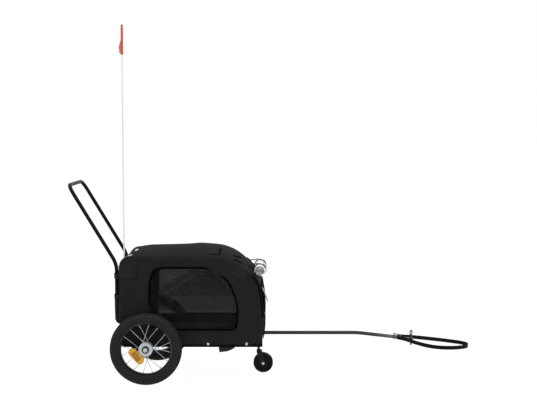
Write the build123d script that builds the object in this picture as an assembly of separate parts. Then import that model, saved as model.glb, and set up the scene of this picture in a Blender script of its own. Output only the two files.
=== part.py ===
"""Dog bike trailer: a fabric cabin on a steel tube frame with two spoked wheels and a swivel caster.

Millimetres, +X forward, +Y to the trailer's left, +Z up. Everything is laid out from the wheel axle
at X = 0, Y = 0 and the ground at Z = 0, and moved by CENTRE_X at the end, so that the origin lies
on the ground under the middle of the trailer.
"""

from build123d import *
import os
from math import cos, radians, sin, tan

# ---------------------------------------------------------------- driving dimensions

# main wheels
WHEEL_DIA = 305.0
TYRE_WIDTH = 45.0
TYRE_HEIGHT = 39.0
RIM_OPENING_DIA = 210.0
RIM_FLANGE = 2.2
WHEEL_GAP = 15.0
SPOKE_COUNT = 16
SPOKE_DIA = 2.2
SPOKE_LEAD = 38.0
SPOKE_PHASE = -4.0
FLANGE_DIA = 58.0
FLANGE_THICK = 2.5
FLANGE_SPACING = 32.0
HUB_DIA = 24.0
HUB_LENGTH = 50.0
STUB_DIA = 12.0
NUT_DIA = 19.0
NUT_THICK = 5.0
STUB_INSET = 70.0
COLLAR_DIA = 17.0
BEAD_SHARE = 0.3
BEAD_WALL = 0.16
REFLECTOR_LENGTH = 80.0
REFLECTOR_WIDTH = 34.0
REFLECTOR_THICK = 9.0
REFLECTOR_RADIUS = 48.0
REFLECTOR_ANGLE = 145.0
REFLECTOR_TILT = -8.5

# front caster
CASTER_DIA = 86.5
CASTER_WIDTH = 32.0
CASTER_LEAD = 20.0
CASTER_STEM_DIA = 11.0
CASTER_BOLT_DIA = 8.0
FORK_PLATE = 4.0
FORK_CROWN = 6.0
FORK_BACK = 9.0
FORK_FRONT = 14.0
BOSS_DIA = 16.0
BOSS_HEIGHT = 4.0
BOLT_HEAD_DIA = 13.0
BOLT_HEAD_THICK = 4.0
HEAD_WALL = 4.5

# frame
TUBE_DIA = 16.0
FABRIC = 3.0
CABIN_WIDTH = 400.0
CABIN_LIFT = 1.0
CABIN_BOTTOM = WHEEL_DIA / 2 + CABIN_LIFT
CABIN_TOP = CABIN_BOTTOM + 387.5
REAR_X = -118.0
REAR_CORNER = 45.0
CABIN_LENGTH = 606.5
TOE_X = REAR_X + CABIN_LENGTH
SHOULDER_X = TOE_X - 146.5
BROW_X = TOE_X - 10.5
BROW_Z = CABIN_BOTTOM + 287.5
NOSE_X = TOE_X + 16.5
NOSE_Z = CABIN_BOTTOM + 136.5
CASTER_STEM_X = TOE_X - 15.0
SHOULDER_RADIUS = 150.0
BROW_RADIUS = 100.0
NOSE_RADIUS = 550.0
AXLE_TUBE_DIA = 18.0
MIDDLE_TUBE_X = 235.0

# roof
CROWN = 33.0
ROOF_END_RISE = 3.0
BEND_STEP = 8.0
STRAIGHT_STEP = 50.0
ROOF_FRONT_X = BROW_X - 26.0
BOW_X = 215.0
BOW_DIA = 8.0

# side windows, as the corners of the cut
WINDOW_REAR = 10.0
WINDOW_FRONT = TOE_X - 103.5
WINDOW_SILL = CABIN_BOTTOM + 75.5
WINDOW_HEAD = CABIN_BOTTOM + 337.5
WINDOW_HEAD_FRONT = TOE_X - 222.5
WINDOW_BROW_X = TOE_X - 143.5
WINDOW_BROW_Z = CABIN_BOTTOM + 288.5
MESH = 1.0
MESH_SEAM = 8.0

# front door
DOOR_OPENING_HALF = 150.0
DOOR_OPENING_SILL = CABIN_BOTTOM + 41.5
DOOR_OPENING_HEAD = CABIN_BOTTOM + 242.5
DOOR_LAP = 14.0
DOOR_BORDER = 34.0
DOOR_LIFT = 0.6

# rolled rain cover
ROLL_DIA = 46.0
ROLL_LENGTH = 262.0
ROLL_SEAT_X = BROW_X - 18.0
ROLL_STRAP_SPACING = 150.0
ROLL_STRAP_WIDTH = 25.0
ROLL_STRAP_THICK = 2.0

# floor
FLOOR_BOARD = 6.0
FLOOR_MAT = 14.0
FLOOR_EDGE_GAP = 4.0
MAT_CORNER = 20.0

# rear pocket
POCKET_WIDTH = 296.0
POCKET_DEPTH = 42.0
POCKET_BOTTOM = CABIN_BOTTOM + 80.5
POCKET_TOP = CABIN_BOTTOM + 292.5
POCKET_WALL = 2.5

# push handle
HANDLE_INSET = 28.0
HANDLE_X = REAR_X - 11.0
HANDLE_FOOT = CABIN_BOTTOM + 193.5
HANDLE_KNEE = CABIN_BOTTOM + 351.5
HANDLE_TOP = CABIN_BOTTOM + 686.5
HANDLE_LEAN = 31.0
HANDLE_KNEE_RADIUS = 110.0
HANDLE_CORNER_RADIUS = 45.0
HANDLE_CLAMP_HEIGHTS = (HANDLE_FOOT + 19.0, HANDLE_KNEE - 49.0)
CLAMP_WALL = 3.0
CLAMP_WIDTH = 22.0
CLAMP_NECK = 12.0

# safety flag
POLE_DIA = 6.0
POLE_X = REAR_X + 21.0
POLE_Y = 30.0 - CABIN_WIDTH / 2
POLE_FOOT = CABIN_BOTTOM + 157.5
POLE_TOP = CABIN_BOTTOM + 1357.5
SLEEVE_WALL = 1.5
SLEEVE_LENGTH = 150.0
FLAG_TOP = POLE_TOP - 4.0
FLAG_HOIST = 117.0
FLAG_FLY = 225.0
FLAG_TIP_DROP = 72.0
FLAG_TURN = 11.7
FLAG_THICK = 1.2

# drawbar and hitch
DRAWBAR_Y = CABIN_WIDTH / 2 - 25.0
DRAWBAR_Z = CABIN_BOTTOM - 11.5
DRAWBAR_REAR_X = 150.0
DRAWBAR_BEND_X = TOE_X + 435.5
DRAWBAR_TURN = 31.0
DRAWBAR_END_X = DRAWBAR_BEND_X + 188.0
DRAWBAR_BEND_RADIUS = 70.0
DRAWBAR_CLAMPS_X = (DRAWBAR_REAR_X + 35.0, TOE_X - 58.5)
TONGUE_LENGTH = 52.0
TONGUE_WIDTH = 22.0
TONGUE_THICK = 4.0
TONGUE_SOCKET = 24.0
TONGUE_WALL = 2.0
TONGUE_CAP = 4.0
PIN_AHEAD = 49.0
PIN_FLANGE = 3.0
PIN_DIA = 8.0
PIN_SHANK_DIA = 10.0
PIN_TOP = DRAWBAR_Z + 18.0
PIN_FREE_LENGTH = 26.0
PIN_RING_DIA = 22.0
PIN_RING_WIRE = 2.6
LANYARD_DIA = 4.0
LANYARD_LENGTH = 84.0
LANYARD_BAND = 8.0
LANYARD_BAND_WALL = 2.5
LANYARD_BAND_AHEAD = 6.0

# safety strap
STRAP_WIDTH = 15.0
STRAP_THICK = 2.0
STRAP_TILT = 3.6
STRAP_BAND_SETBACK = 8.0

# storage strap, whose folded end hangs under the right bottom rail
STORAGE_REAR_X = 305.0
STORAGE_FRONT_X = 384.0
STORAGE_DROP = 30.0
STORAGE_THICK = 3.0

# clearances
SEAT = 0.3
WELD = 0.05
RUN = 0.05
SWING = 5.0

# ---------------------------------------------------------------- places worked out from them

R = TUBE_DIA / 2
AXLE_Z = WHEEL_DIA / 2
HALF_WIDTH = CABIN_WIDTH / 2
SIDE_INNER = HALF_WIDTH - FABRIC
HOOP_Y = SIDE_INNER - SEAT - R
HOOP_INSET = FABRIC + 0.5 + R
RAIL_Z = CABIN_BOTTOM + HOOP_INSET
FLOOR_Z = RAIL_Z + R + SEAT
ROLL_RADIUS = ROLL_DIA / 2
STRAP_GAP = 0.4

os.makedirs("parts", exist_ok=True)
nodes = {}


def side_plane(y):
    """A plane facing -Y: sketch x is X, sketch y is Z."""
    return Plane((0, y, 0), x_dir=(1, 0, 0), z_dir=(0, -1, 0))


def across(sketch, low, high):
    """A side-view sketch carried across the trailer, from Y = low to Y = high."""
    return extrude(side_plane(high) * sketch, amount=high - low)


def block(low, high):
    """A box between two opposite corners."""
    size = [b - a for a, b in zip(low, high)]
    middle = [(a + b) / 2 for a, b in zip(low, high)]
    return Pos(*middle) * Box(*size)


def rod(start, end, radius):
    """A round bar between two points."""
    axis = Vector(*end) - Vector(*start)
    return Plane(start, z_dir=axis) * Cylinder(
        radius, axis.length, align=(Align.CENTER, Align.CENTER, Align.MIN)
    )


def bent_tube(points, radii, radius):
    """A bar of round section along straight runs joined by tangent bends."""
    path = FilletPolyline(*points, radius=radii)
    start = Plane(path @ 0, z_dir=path % 0)
    return sweep(start * Circle(radius), path=path)


def mirrored(shape):
    """The same piece on the trailer's right side."""
    return mirror(shape, about=Plane.XZ)


# ---------------------------------------------------------------- side view of the cabin

OUTLINE = [
    (REAR_X, CABIN_BOTTOM),
    (REAR_X, CABIN_TOP),
    (SHOULDER_X, CABIN_TOP),
    (BROW_X, BROW_Z),
    (NOSE_X, NOSE_Z),
    (TOE_X, CABIN_BOTTOM),
]
OUTLINE_RADII = [REAR_CORNER, SHOULDER_RADIUS, BROW_RADIUS, NOSE_RADIUS]


def cabin_face(inset=0.0):
    """The cabin's side view, drawn in by an even margin."""
    top = FilletPolyline(*OUTLINE, radius=OUTLINE_RADII)
    face = make_face(top + Line(OUTLINE[-1], OUTLINE[0]))
    if inset:
        face = offset(face, amount=-inset, kind=Kind.INTERSECTION)
    return face


def hoop_path():
    """Centre line of a side hoop, as an open chain from the rear foot to the front foot."""
    edges = cabin_face(HOOP_INSET).wire().edges()
    floor = [e for e in edges if max(abs((e @ end).Y - RAIL_Z) for end in (0, 1)) < 1e-3]
    return Wire([e for e in edges if e not in floor])


def outline_edge_z(x, inset=0.0):
    """Height of the cabin's upper outline at a station, for what sits on or under it."""
    cut = cabin_face(inset) & (Pos(x, (CABIN_TOP + CABIN_BOTTOM) / 2) * Rectangle(0.01, 2 * CABIN_TOP))
    return cut.bounding_box().max.Y


# ---------------------------------------------------------------- frame tubes

hoop_line = hoop_path()


def hoop(y, radius=R):
    """A side hoop: rear upright, top rail, front slope and front upright in one bent tube."""
    path = side_plane(y) * hoop_line
    start = Plane(path @ 0, z_dir=path % 0)
    return sweep(start * Circle(radius), path=path)


def rail(y, radius=R):
    """A bottom rail, running the length of the cabin under the hoop's feet."""
    return rod((REAR_X + FABRIC + 1, y, RAIL_Z), (TOE_X - FABRIC - 1, y, RAIL_Z), radius)


left_hoop = hoop(HOOP_Y) - rail(HOOP_Y, R + WELD)
nodes["left_side_hoop"] = left_hoop
nodes["right_side_hoop"] = mirrored(left_hoop)
left_rail = rail(HOOP_Y)
nodes["left_bottom_rail"] = left_rail
nodes["right_bottom_rail"] = mirrored(left_rail)

fat_left_frame = hoop(HOOP_Y, R + WELD) + rail(HOOP_Y, R + WELD)
fat_frame = fat_left_frame + mirrored(fat_left_frame)


def cross_tube(x, z, reach=HOOP_Y):
    """A tube across the trailer, its ends shaped to the tubes that it is welded to."""
    whole = rod((x, -reach, z), (x, reach, z), R) - fat_frame
    return max(whole.solids(), key=lambda s: s.volume)


HEAD_RADIUS = CASTER_STEM_DIA / 2 + RUN + HEAD_WALL
HEAD_BOTTOM = CABIN_BOTTOM + 1.0
HEAD_TOP = FLOOR_Z - SEAT - 0.5
head_void = rod((CASTER_STEM_X, 0, HEAD_BOTTOM), (CASTER_STEM_X, 0, HEAD_TOP), HEAD_RADIUS + WELD)
nodes["front_cross_tube"] = cross_tube(CASTER_STEM_X, RAIL_Z) - head_void
nodes["middle_cross_tube"] = cross_tube(MIDDLE_TUBE_X, RAIL_Z)
nodes["rear_cross_tube"] = cross_tube(REAR_X + HOOP_INSET, RAIL_Z)
TOP_REAR_X = REAR_X + REAR_CORNER + R
nodes["top_rear_crossbar"] = cross_tube(TOP_REAR_X, CABIN_TOP - HOOP_INSET)
BROW_TUBE_Z = outline_edge_z(ROOF_FRONT_X, HOOP_INSET)
nodes["top_front_crossbar"] = cross_tube(ROOF_FRONT_X, BROW_TUBE_Z)

# ---------------------------------------------------------------- roof


def rise(t):
    """How far the roof's middle stands above its sides, t from 0 at its rear edge to 1 in front."""
    return ROOF_END_RISE + (CROWN - ROOF_END_RISE) * (1 - abs(2 * t - 1) ** 3)


def roof_line():
    """The roof's path in side view, from the rear corner's lower tangent to the brow."""
    whole = FilletPolyline(*OUTLINE, radius=OUTLINE_RADII)
    window = Pos((REAR_X - 10 + ROOF_FRONT_X) / 2, CABIN_TOP) * Rectangle(
        ROOF_FRONT_X - REAR_X + 10, 2 * REAR_CORNER
    )
    low = Pos((BOW_X + ROOF_FRONT_X) / 2, CABIN_TOP - 2 * REAR_CORNER) * Rectangle(
        ROOF_FRONT_X - BOW_X, 4 * REAR_CORNER
    )
    pieces = whole & (window + low)
    return Wire(pieces.edges())


roof_wire = roof_line()
roof_runs_back = (roof_wire @ 0).X > (roof_wire @ 1).X


def arched_strip(t):
    """The roof's section at one station: a strip of fabric arched from side to side."""
    at = roof_wire @ (1 - t if roof_runs_back else t)
    along = roof_wire % (1 - t if roof_runs_back else t)
    along = along * -1 if roof_runs_back else along
    plane = Plane((at.X, 0, at.Y), x_dir=(0, 1, 0), z_dir=(along.X, 0, along.Y))
    peak = rise(t)
    outer = ThreePointArc((-HALF_WIDTH, 0), (0, peak), (HALF_WIDTH, 0))
    inner = ThreePointArc((-HALF_WIDTH, -FABRIC), (0, peak - FABRIC), (HALF_WIDTH, -FABRIC))
    sides = [Line(outer @ end, inner @ end) for end in (0, 1)]
    return plane * make_face(Curve() + [outer, inner, *sides])


def roof_stations():
    """Where the roof is sectioned: its straight stretches and bends in short, even steps."""
    total, done, stations = roof_wire.length, 0.0, [0.0]
    for edge in roof_wire.edges().sort_by(Axis.X):
        step = BEND_STEP if edge.geom_type == GeomType.CIRCLE else STRAIGHT_STEP
        count = max(1, round(edge.length / step))
        stations += [(done + edge.length * (k + 1) / count) / total for k in range(count)]
        done += edge.length
    return stations


roof = loft([arched_strip(t) for t in roof_stations()], ruled=True)
pole_hole = rod((POLE_X, POLE_Y, CABIN_BOTTOM), (POLE_X, POLE_Y, CABIN_TOP + CROWN), POLE_DIA / 2 + 1)
nodes["roof_panel"] = roof - pole_hole

BOW_CENTRE = CABIN_TOP - FABRIC - SEAT - BOW_DIA / 2
BOW_RISE = CROWN - 1.0
bow_arc = ThreePointArc(
    (BOW_X, -HOOP_Y, BOW_CENTRE), (BOW_X, 0, BOW_CENTRE + BOW_RISE), (BOW_X, HOOP_Y, BOW_CENTRE)
)
bow = sweep(Plane(bow_arc @ 0, z_dir=bow_arc % 0) * Circle(BOW_DIA / 2), path=bow_arc)
nodes["roof_bow"] = max((bow - fat_frame).solids(), key=lambda s: s.volume)

# ---------------------------------------------------------------- fabric walls


def window_face(margin=0.0):
    """A side window's outline, let out by a margin."""
    corners = [
        (WINDOW_REAR, WINDOW_SILL),
        (WINDOW_REAR + 12, WINDOW_HEAD - 20),
        (WINDOW_REAR + 35, WINDOW_HEAD),
        (WINDOW_HEAD_FRONT, WINDOW_HEAD),
        (WINDOW_BROW_X, WINDOW_BROW_Z),
        (WINDOW_FRONT, (WINDOW_SILL + WINDOW_BROW_Z) / 2),
        (WINDOW_FRONT - 4, WINDOW_SILL),
    ]
    radii = [6, 40, 12, 70, 50, 60, 16]
    face = make_face(FilletPolyline(*corners, radius=radii, close=True))
    return offset(face, amount=margin) if margin else face


side_face = cabin_face(FABRIC + SEAT) - window_face()
axle_notch = rod((0, 0, AXLE_Z), (0, HALF_WIDTH + 1, AXLE_Z), AXLE_TUBE_DIA / 2 + SEAT)
left_side = across(side_face, SIDE_INNER, HALF_WIDTH) - axle_notch
nodes["left_side_panel"] = left_side
nodes["right_side_panel"] = mirrored(left_side)
left_mesh = across(window_face(MESH_SEAM), SIDE_INNER - SEAT - MESH, SIDE_INNER - SEAT)
nodes["left_window_mesh"] = left_mesh
nodes["right_window_mesh"] = mirrored(left_mesh)


def tube_clamp(held, anchor, along, width=CLAMP_WIDTH):
    """A clamp that rings one tube and saddles another beside it; both run along one axis."""
    held, anchor = Vector(*held), Vector(*anchor)
    gap = anchor - held
    plane = Plane(held, x_dir=gap.normalized(), z_dir=along)
    ring = Cylinder(R + CLAMP_WALL, width)
    neck = Pos(gap.length / 2, 0, 0) * Box(gap.length, CLAMP_NECK, width)
    bore = Cylinder(R + WELD, 2 * width)
    saddle = Pos(gap.length, 0, 0) * Cylinder(R + WELD, 2 * width)
    return plane * (ring + neck - bore - saddle)


HANDLE_Y = HALF_WIDTH - HANDLE_INSET
REAR_UPRIGHT = (REAR_X + HOOP_INSET, HOOP_Y)
left_clamps = [
    tube_clamp((HANDLE_X, HANDLE_Y, z), (*REAR_UPRIGHT, z), (0, 0, 1)) for z in HANDLE_CLAMP_HEIGHTS
]
nodes["left_handle_clamps"] = Compound(children=[c.solid() for c in left_clamps])
nodes["right_handle_clamps"] = Compound(children=[mirrored(c).solid() for c in left_clamps])

REAR_TOP = CABIN_TOP - REAR_CORNER - SEAT
rear = block((REAR_X, -HALF_WIDTH, CABIN_BOTTOM), (REAR_X + FABRIC, HALF_WIDTH, REAR_TOP))
clamp_cut_low = HANDLE_Y - CLAMP_NECK
clamp_cut_high = HOOP_Y + CLAMP_NECK / 2
for z in HANDLE_CLAMP_HEIGHTS:
    for low, high in ((clamp_cut_low, clamp_cut_high), (-clamp_cut_high, -clamp_cut_low)):
        half = CLAMP_WIDTH / 2 + 1
        rear -= block((REAR_X - 1, low, z - half), (REAR_X + FABRIC + 1, high, z + half))
nodes["rear_panel"] = rear

DOOR_TOP = DOOR_OPENING_HEAD + DOOR_LAP


def front_region(low, high):
    """Everything ahead of the roof bow between two heights, as a side-view sketch."""
    return Pos(BOW_X + NOSE_X / 2, (low + high) / 2) * Rectangle(NOSE_X, high - low)


front_band = cabin_face() - cabin_face(FABRIC)
brow_cut = Pos(ROOF_FRONT_X + SEAT + NOSE_X / 2, CABIN_TOP / 2) * Rectangle(NOSE_X, 2 * CABIN_TOP)
front = across(front_band & brow_cut, -HALF_WIDTH, HALF_WIDTH)
front = max(front.solids(), key=lambda s: s.volume)
front -= block(
    (BOW_X, -DOOR_OPENING_HALF, DOOR_OPENING_SILL),
    (2 * NOSE_X, DOOR_OPENING_HALF, DOOR_OPENING_HEAD),
)
front -= block((BOW_X, -HALF_WIDTH, 0), (TOE_X - FABRIC - 1, HALF_WIDTH, CABIN_BOTTOM + FABRIC + 1))
nodes["front_panel"] = front

DOOR_HALF = DOOR_OPENING_HALF + DOOR_LAP
door_sketch = offset(cabin_face(), amount=DOOR_LIFT + FABRIC) - offset(cabin_face(), amount=DOOR_LIFT)
door_sketch &= front_region(DOOR_OPENING_SILL - DOOR_LAP, DOOR_TOP)
door = across(door_sketch, -DOOR_HALF, DOOR_HALF)
door_window = block(
    (BOW_X, -DOOR_HALF + DOOR_BORDER, DOOR_OPENING_SILL - DOOR_LAP + DOOR_BORDER),
    (2 * NOSE_X, DOOR_HALF - DOOR_BORDER, DOOR_TOP - DOOR_BORDER),
)
nodes["front_door"] = door - door_window
mesh_sketch = offset(cabin_face(), amount=DOOR_LIFT + 2) - offset(cabin_face(), amount=DOOR_LIFT + 1)
mesh_sketch &= front_region(
    DOOR_OPENING_SILL - DOOR_LAP + DOOR_BORDER + SEAT, DOOR_TOP - DOOR_BORDER - SEAT
)
mesh_half = DOOR_HALF - DOOR_BORDER - SEAT
nodes["front_door_mesh"] = across(mesh_sketch, -mesh_half, mesh_half)

# ---------------------------------------------------------------- rolled rain cover

seat_z = outline_edge_z(ROLL_SEAT_X)
before = Vector(ROLL_SEAT_X - 1, outline_edge_z(ROLL_SEAT_X - 1))
after = Vector(ROLL_SEAT_X + 1, outline_edge_z(ROLL_SEAT_X + 1))
slope = (after - before).normalized()
lift = ROLL_RADIUS + SEAT + ROLL_STRAP_THICK + STRAP_GAP
ROLL_X = ROLL_SEAT_X - slope.Y * lift
ROLL_Z = seat_z + slope.X * lift
nodes["rain_cover_roll"] = rod(
    (ROLL_X, -ROLL_LENGTH / 2, ROLL_Z), (ROLL_X, ROLL_LENGTH / 2, ROLL_Z), ROLL_RADIUS
)
strap_rings = []
for y in (-ROLL_STRAP_SPACING / 2, ROLL_STRAP_SPACING / 2):
    ends = ((ROLL_X, y - ROLL_STRAP_WIDTH / 2, ROLL_Z), (ROLL_X, y + ROLL_STRAP_WIDTH / 2, ROLL_Z))
    ring = rod(*ends, ROLL_RADIUS + SEAT + ROLL_STRAP_THICK) - rod(*ends, ROLL_RADIUS + SEAT)
    strap_rings.append(ring.solid())
nodes["roll_straps"] = Compound(children=strap_rings)

# ---------------------------------------------------------------- floor

FLOOR_REAR = REAR_X + HOOP_INSET + R + FLOOR_EDGE_GAP
FLOOR_FRONT = TOE_X - HOOP_INSET - R - FLOOR_EDGE_GAP
FLOOR_HALF = HOOP_Y - R - FLOOR_EDGE_GAP
nodes["floor_board"] = block(
    (FLOOR_REAR, -FLOOR_HALF, FLOOR_Z), (FLOOR_FRONT, FLOOR_HALF, FLOOR_Z + FLOOR_BOARD)
)
MAT_Z = FLOOR_Z + FLOOR_BOARD + SEAT
mat = block(
    (FLOOR_REAR + FLOOR_EDGE_GAP, -FLOOR_HALF + FLOOR_EDGE_GAP, MAT_Z),
    (FLOOR_FRONT - FLOOR_EDGE_GAP, FLOOR_HALF - FLOOR_EDGE_GAP, MAT_Z + FLOOR_MAT),
)
nodes["floor_mat"] = fillet(mat.edges().filter_by(Axis.Z), MAT_CORNER)

# ---------------------------------------------------------------- rear pocket

pocket_half = POCKET_WIDTH / 2
pocket_back = REAR_X - SEAT
POCKET_BULGE = (pocket_half**2 + POCKET_DEPTH**2) / (2 * POCKET_DEPTH)
bulge_x = pocket_back - POCKET_DEPTH + POCKET_BULGE
pocket = rod((bulge_x, 0, POCKET_BOTTOM), (bulge_x, 0, POCKET_TOP), POCKET_BULGE)
pocket &= block(
    (pocket_back - POCKET_DEPTH - 1, -pocket_half, POCKET_BOTTOM), (pocket_back, pocket_half, POCKET_TOP)
)
hollow = rod(
    (bulge_x, 0, POCKET_BOTTOM + POCKET_WALL), (bulge_x, 0, POCKET_TOP + 1), POCKET_BULGE - POCKET_WALL
)
nodes["rear_pocket"] = pocket - hollow

# ---------------------------------------------------------------- push handle

HANDLE_TOP_X = HANDLE_X - (HANDLE_TOP - HANDLE_KNEE) * tan(radians(HANDLE_LEAN))
handle_points = [
    (HANDLE_X, HANDLE_Y, HANDLE_FOOT),
    (HANDLE_X, HANDLE_Y, HANDLE_KNEE),
    (HANDLE_TOP_X, HANDLE_Y, HANDLE_TOP),
    (HANDLE_TOP_X, -HANDLE_Y, HANDLE_TOP),
    (HANDLE_X, -HANDLE_Y, HANDLE_KNEE),
    (HANDLE_X, -HANDLE_Y, HANDLE_FOOT),
]
handle_radii = [HANDLE_KNEE_RADIUS, HANDLE_CORNER_RADIUS, HANDLE_CORNER_RADIUS, HANDLE_KNEE_RADIUS]
nodes["push_handle"] = bent_tube(handle_points, handle_radii, R)

# ---------------------------------------------------------------- safety flag

nodes["flag_pole"] = rod((POLE_X, POLE_Y, POLE_FOOT), (POLE_X, POLE_Y, POLE_TOP), POLE_DIA / 2)
sleeve_radius = POLE_DIA / 2 + SEAT + SLEEVE_WALL
sleeve_top = POLE_FOOT + SLEEVE_LENGTH
sleeve = rod((POLE_X, POLE_Y, POLE_FOOT - 2), (POLE_X, POLE_Y, sleeve_top), sleeve_radius)
sleeve -= rod((POLE_X, POLE_Y, POLE_FOOT - SEAT), (POLE_X, POLE_Y, POLE_TOP), POLE_DIA / 2 + SEAT)
web_x = REAR_X + FABRIC + SEAT
web = block((web_x, POLE_Y - 4, POLE_FOOT), (web_x + SLEEVE_WALL, POLE_Y + 12, sleeve_top))
tie_end = POLE_X - POLE_DIA / 2 - SEAT - SLEEVE_WALL / 2
tie = block((web_x, POLE_Y - 1, POLE_FOOT), (tie_end, POLE_Y + 1, sleeve_top))
nodes["flag_sleeve"] = sleeve + web + tie

hoist_radius = POLE_DIA / 2 + SEAT
flag_turn = radians(FLAG_TURN)
flag_plane = Plane(
    (POLE_X, POLE_Y, 0),
    x_dir=(-sin(flag_turn), cos(flag_turn), 0),
    z_dir=(cos(flag_turn), sin(flag_turn), 0),
)
pennant = make_face(
    Polyline(
        (0, FLAG_TOP - FLAG_HOIST), (0, FLAG_TOP), (FLAG_FLY, FLAG_TOP - FLAG_TIP_DROP), close=True
    )
)
flag = extrude(flag_plane * pennant, amount=FLAG_THICK / 2, both=True)
flag += rod((POLE_X, POLE_Y, FLAG_TOP - FLAG_HOIST), (POLE_X, POLE_Y, FLAG_TOP), hoist_radius + FLAG_THICK)
flag -= rod((POLE_X, POLE_Y, POLE_FOOT), (POLE_X, POLE_Y, POLE_TOP + 1), hoist_radius)
nodes["flag"] = flag

# ---------------------------------------------------------------- drawbar and hitch

turn = radians(DRAWBAR_TURN)
bar_run = (DRAWBAR_END_X - DRAWBAR_BEND_X) / cos(turn)
heading = Vector(cos(turn), -sin(turn), 0)
bar_bend = Vector(DRAWBAR_BEND_X, DRAWBAR_Y, DRAWBAR_Z)
bar_end = bar_bend + heading * bar_run
nodes["drawbar"] = bent_tube(
    [(DRAWBAR_REAR_X, DRAWBAR_Y, DRAWBAR_Z), tuple(bar_bend), tuple(bar_end)], [DRAWBAR_BEND_RADIUS], R
)
for name, x in zip(("drawbar_rear_bracket", "drawbar_front_bracket"), DRAWBAR_CLAMPS_X):
    nodes[name] = tube_clamp((x, DRAWBAR_Y, DRAWBAR_Z), (x, HOOP_Y, RAIL_Z), (1, 0, 0), 30.0)

tongue_plane = Plane(bar_end, x_dir=heading, z_dir=(0, 0, 1))
collar = Rot(0, 90, 0) * Cylinder(R + TONGUE_WALL, TONGUE_SOCKET)
collar -= Rot(0, 90, 0) * Cylinder(R + WELD, 2 * TONGUE_SOCKET)
collar = Pos(-TONGUE_SOCKET / 2, 0, 0) * collar
cap = Pos(TONGUE_CAP / 2, 0, 0) * Rot(0, 90, 0) * Cylinder(R + TONGUE_WALL, TONGUE_CAP)
blade = Pos(TONGUE_LENGTH / 2, 0, 0) * Box(TONGUE_LENGTH, TONGUE_WIDTH, TONGUE_THICK)
blade += Pos(TONGUE_LENGTH, 0, 0) * Cylinder(TONGUE_WIDTH / 2, TONGUE_THICK)
pin_at = Pos(PIN_AHEAD, 0, 0)
tongue = collar + cap + blade - pin_at * Cylinder(PIN_SHANK_DIA / 2 + RUN, 4 * TONGUE_THICK)
nodes["hitch_tongue"] = tongue_plane * tongue

pin_place = bar_end + heading * PIN_AHEAD
pin_foot = DRAWBAR_Z - TONGUE_THICK / 2 - PIN_FREE_LENGTH
shoulder_z = pin_foot + PIN_FREE_LENGTH
flange_z = DRAWBAR_Z + TONGUE_THICK / 2 + SEAT


def pin_stretch(low, high, radius):
    """One turned length of the hitch pin."""
    return rod((pin_place.X, pin_place.Y, low), (pin_place.X, pin_place.Y, high), radius)


pin = pin_stretch(pin_foot, shoulder_z, PIN_DIA / 2) + pin_stretch(shoulder_z, PIN_TOP, PIN_SHANK_DIA / 2)
pin += pin_stretch(flange_z, flange_z + PIN_FLANGE, PIN_SHANK_DIA / 2 + PIN_FLANGE)
ring_centre = (pin_place.X, pin_place.Y, PIN_TOP + PIN_RING_DIA / 2 - PIN_RING_WIRE)
ring_plane = Plane(ring_centre, x_dir=(0, 0, 1), z_dir=heading)
pin += ring_plane * Torus(PIN_RING_DIA / 2, PIN_RING_WIRE / 2)
nodes["hitch_pin"] = pin

STRAP_BAND_RADIUS = R + TONGUE_WALL + SEAT
lanyard_z = DRAWBAR_Z + STRAP_BAND_RADIUS + STRAP_THICK + SEAT + LANYARD_DIA / 2
lanyard_end = pin_place - heading * (PIN_SHANK_DIA / 2 + SEAT)
lanyard_start = lanyard_end - heading * LANYARD_LENGTH
lanyard = rod(
    (lanyard_start.X, lanyard_start.Y, lanyard_z),
    (lanyard_end.X, lanyard_end.Y, lanyard_z),
    LANYARD_DIA / 2,
)
band_centre = lanyard_start + heading * LANYARD_BAND_AHEAD
band_plane = Plane((band_centre.X, band_centre.Y, DRAWBAR_Z), z_dir=heading)
band = Cylinder(R + LANYARD_BAND_WALL, LANYARD_BAND) - Cylinder(R + SEAT, 2 * LANYARD_BAND)
band = band_plane * band
post = rod(
    (band_centre.X, band_centre.Y, DRAWBAR_Z + R + 1.0),
    (band_centre.X, band_centre.Y, lanyard_z),
    LANYARD_DIA / 2 - SEAT,
)
nodes["pin_lanyard"] = lanyard + band + post

# ---------------------------------------------------------------- safety strap

band_middle = bar_end - heading * STRAP_BAND_SETBACK
band_place = Plane(band_middle, z_dir=heading)
nodes["strap_band"] = band_place * (
    Cylinder(STRAP_BAND_RADIUS + STRAP_THICK, STRAP_WIDTH) - Cylinder(STRAP_BAND_RADIUS, 2 * STRAP_WIDTH)
)
strap_route = [
    (-14.0, -7.8),
    (12.0, -26.0),
    (53.0, -104.0),
    (105.0, -164.0),
    (160.0, -177.0),
    (218.0, -160.0),
    (271.0, -122.0),
    (292.0, -76.0),
    (272.0, -36.0),
    (212.0, -9.0),
    (138.0, 12.0),
    (75.0, 27.0),
    (38.0, 29.0),
    (0.8, 16.6),
]
strap_drop = Plane(
    bar_end,
    x_dir=(cos(radians(STRAP_TILT)), 0, -sin(radians(STRAP_TILT))),
    z_dir=(sin(radians(STRAP_TILT)), 0, cos(radians(STRAP_TILT))),
)


def tangent_radii(points):
    """For each corner of a route, 0.45 of its shorter run over the tangent of half its turn."""
    radii = []
    for a, b, c in zip(points, points[1:], points[2:]):
        first, second = Vector(*b) - Vector(*a), Vector(*c) - Vector(*b)
        half_turn = radians(first.get_angle(second)) / 2
        radii.append(0.45 * min(first.length, second.length) / tan(half_turn))
    return radii


strap_radii = tangent_radii(strap_route)
print("safety strap radii, mm:", [round(r) for r in strap_radii])
strap_centre = FilletPolyline(*strap_route, radius=strap_radii)
strap_face = trace(strap_centre, STRAP_THICK)
strap = extrude(strap_drop * strap_face, amount=STRAP_WIDTH / 2, both=True)
print("safety strap length, mm:", round(strap_centre.length))
strap_section = STRAP_WIDTH * STRAP_THICK
print("its volume over section times length:", round(strap.volume / (strap_section * strap_centre.length), 3))
nodes["safety_strap"] = strap

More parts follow.
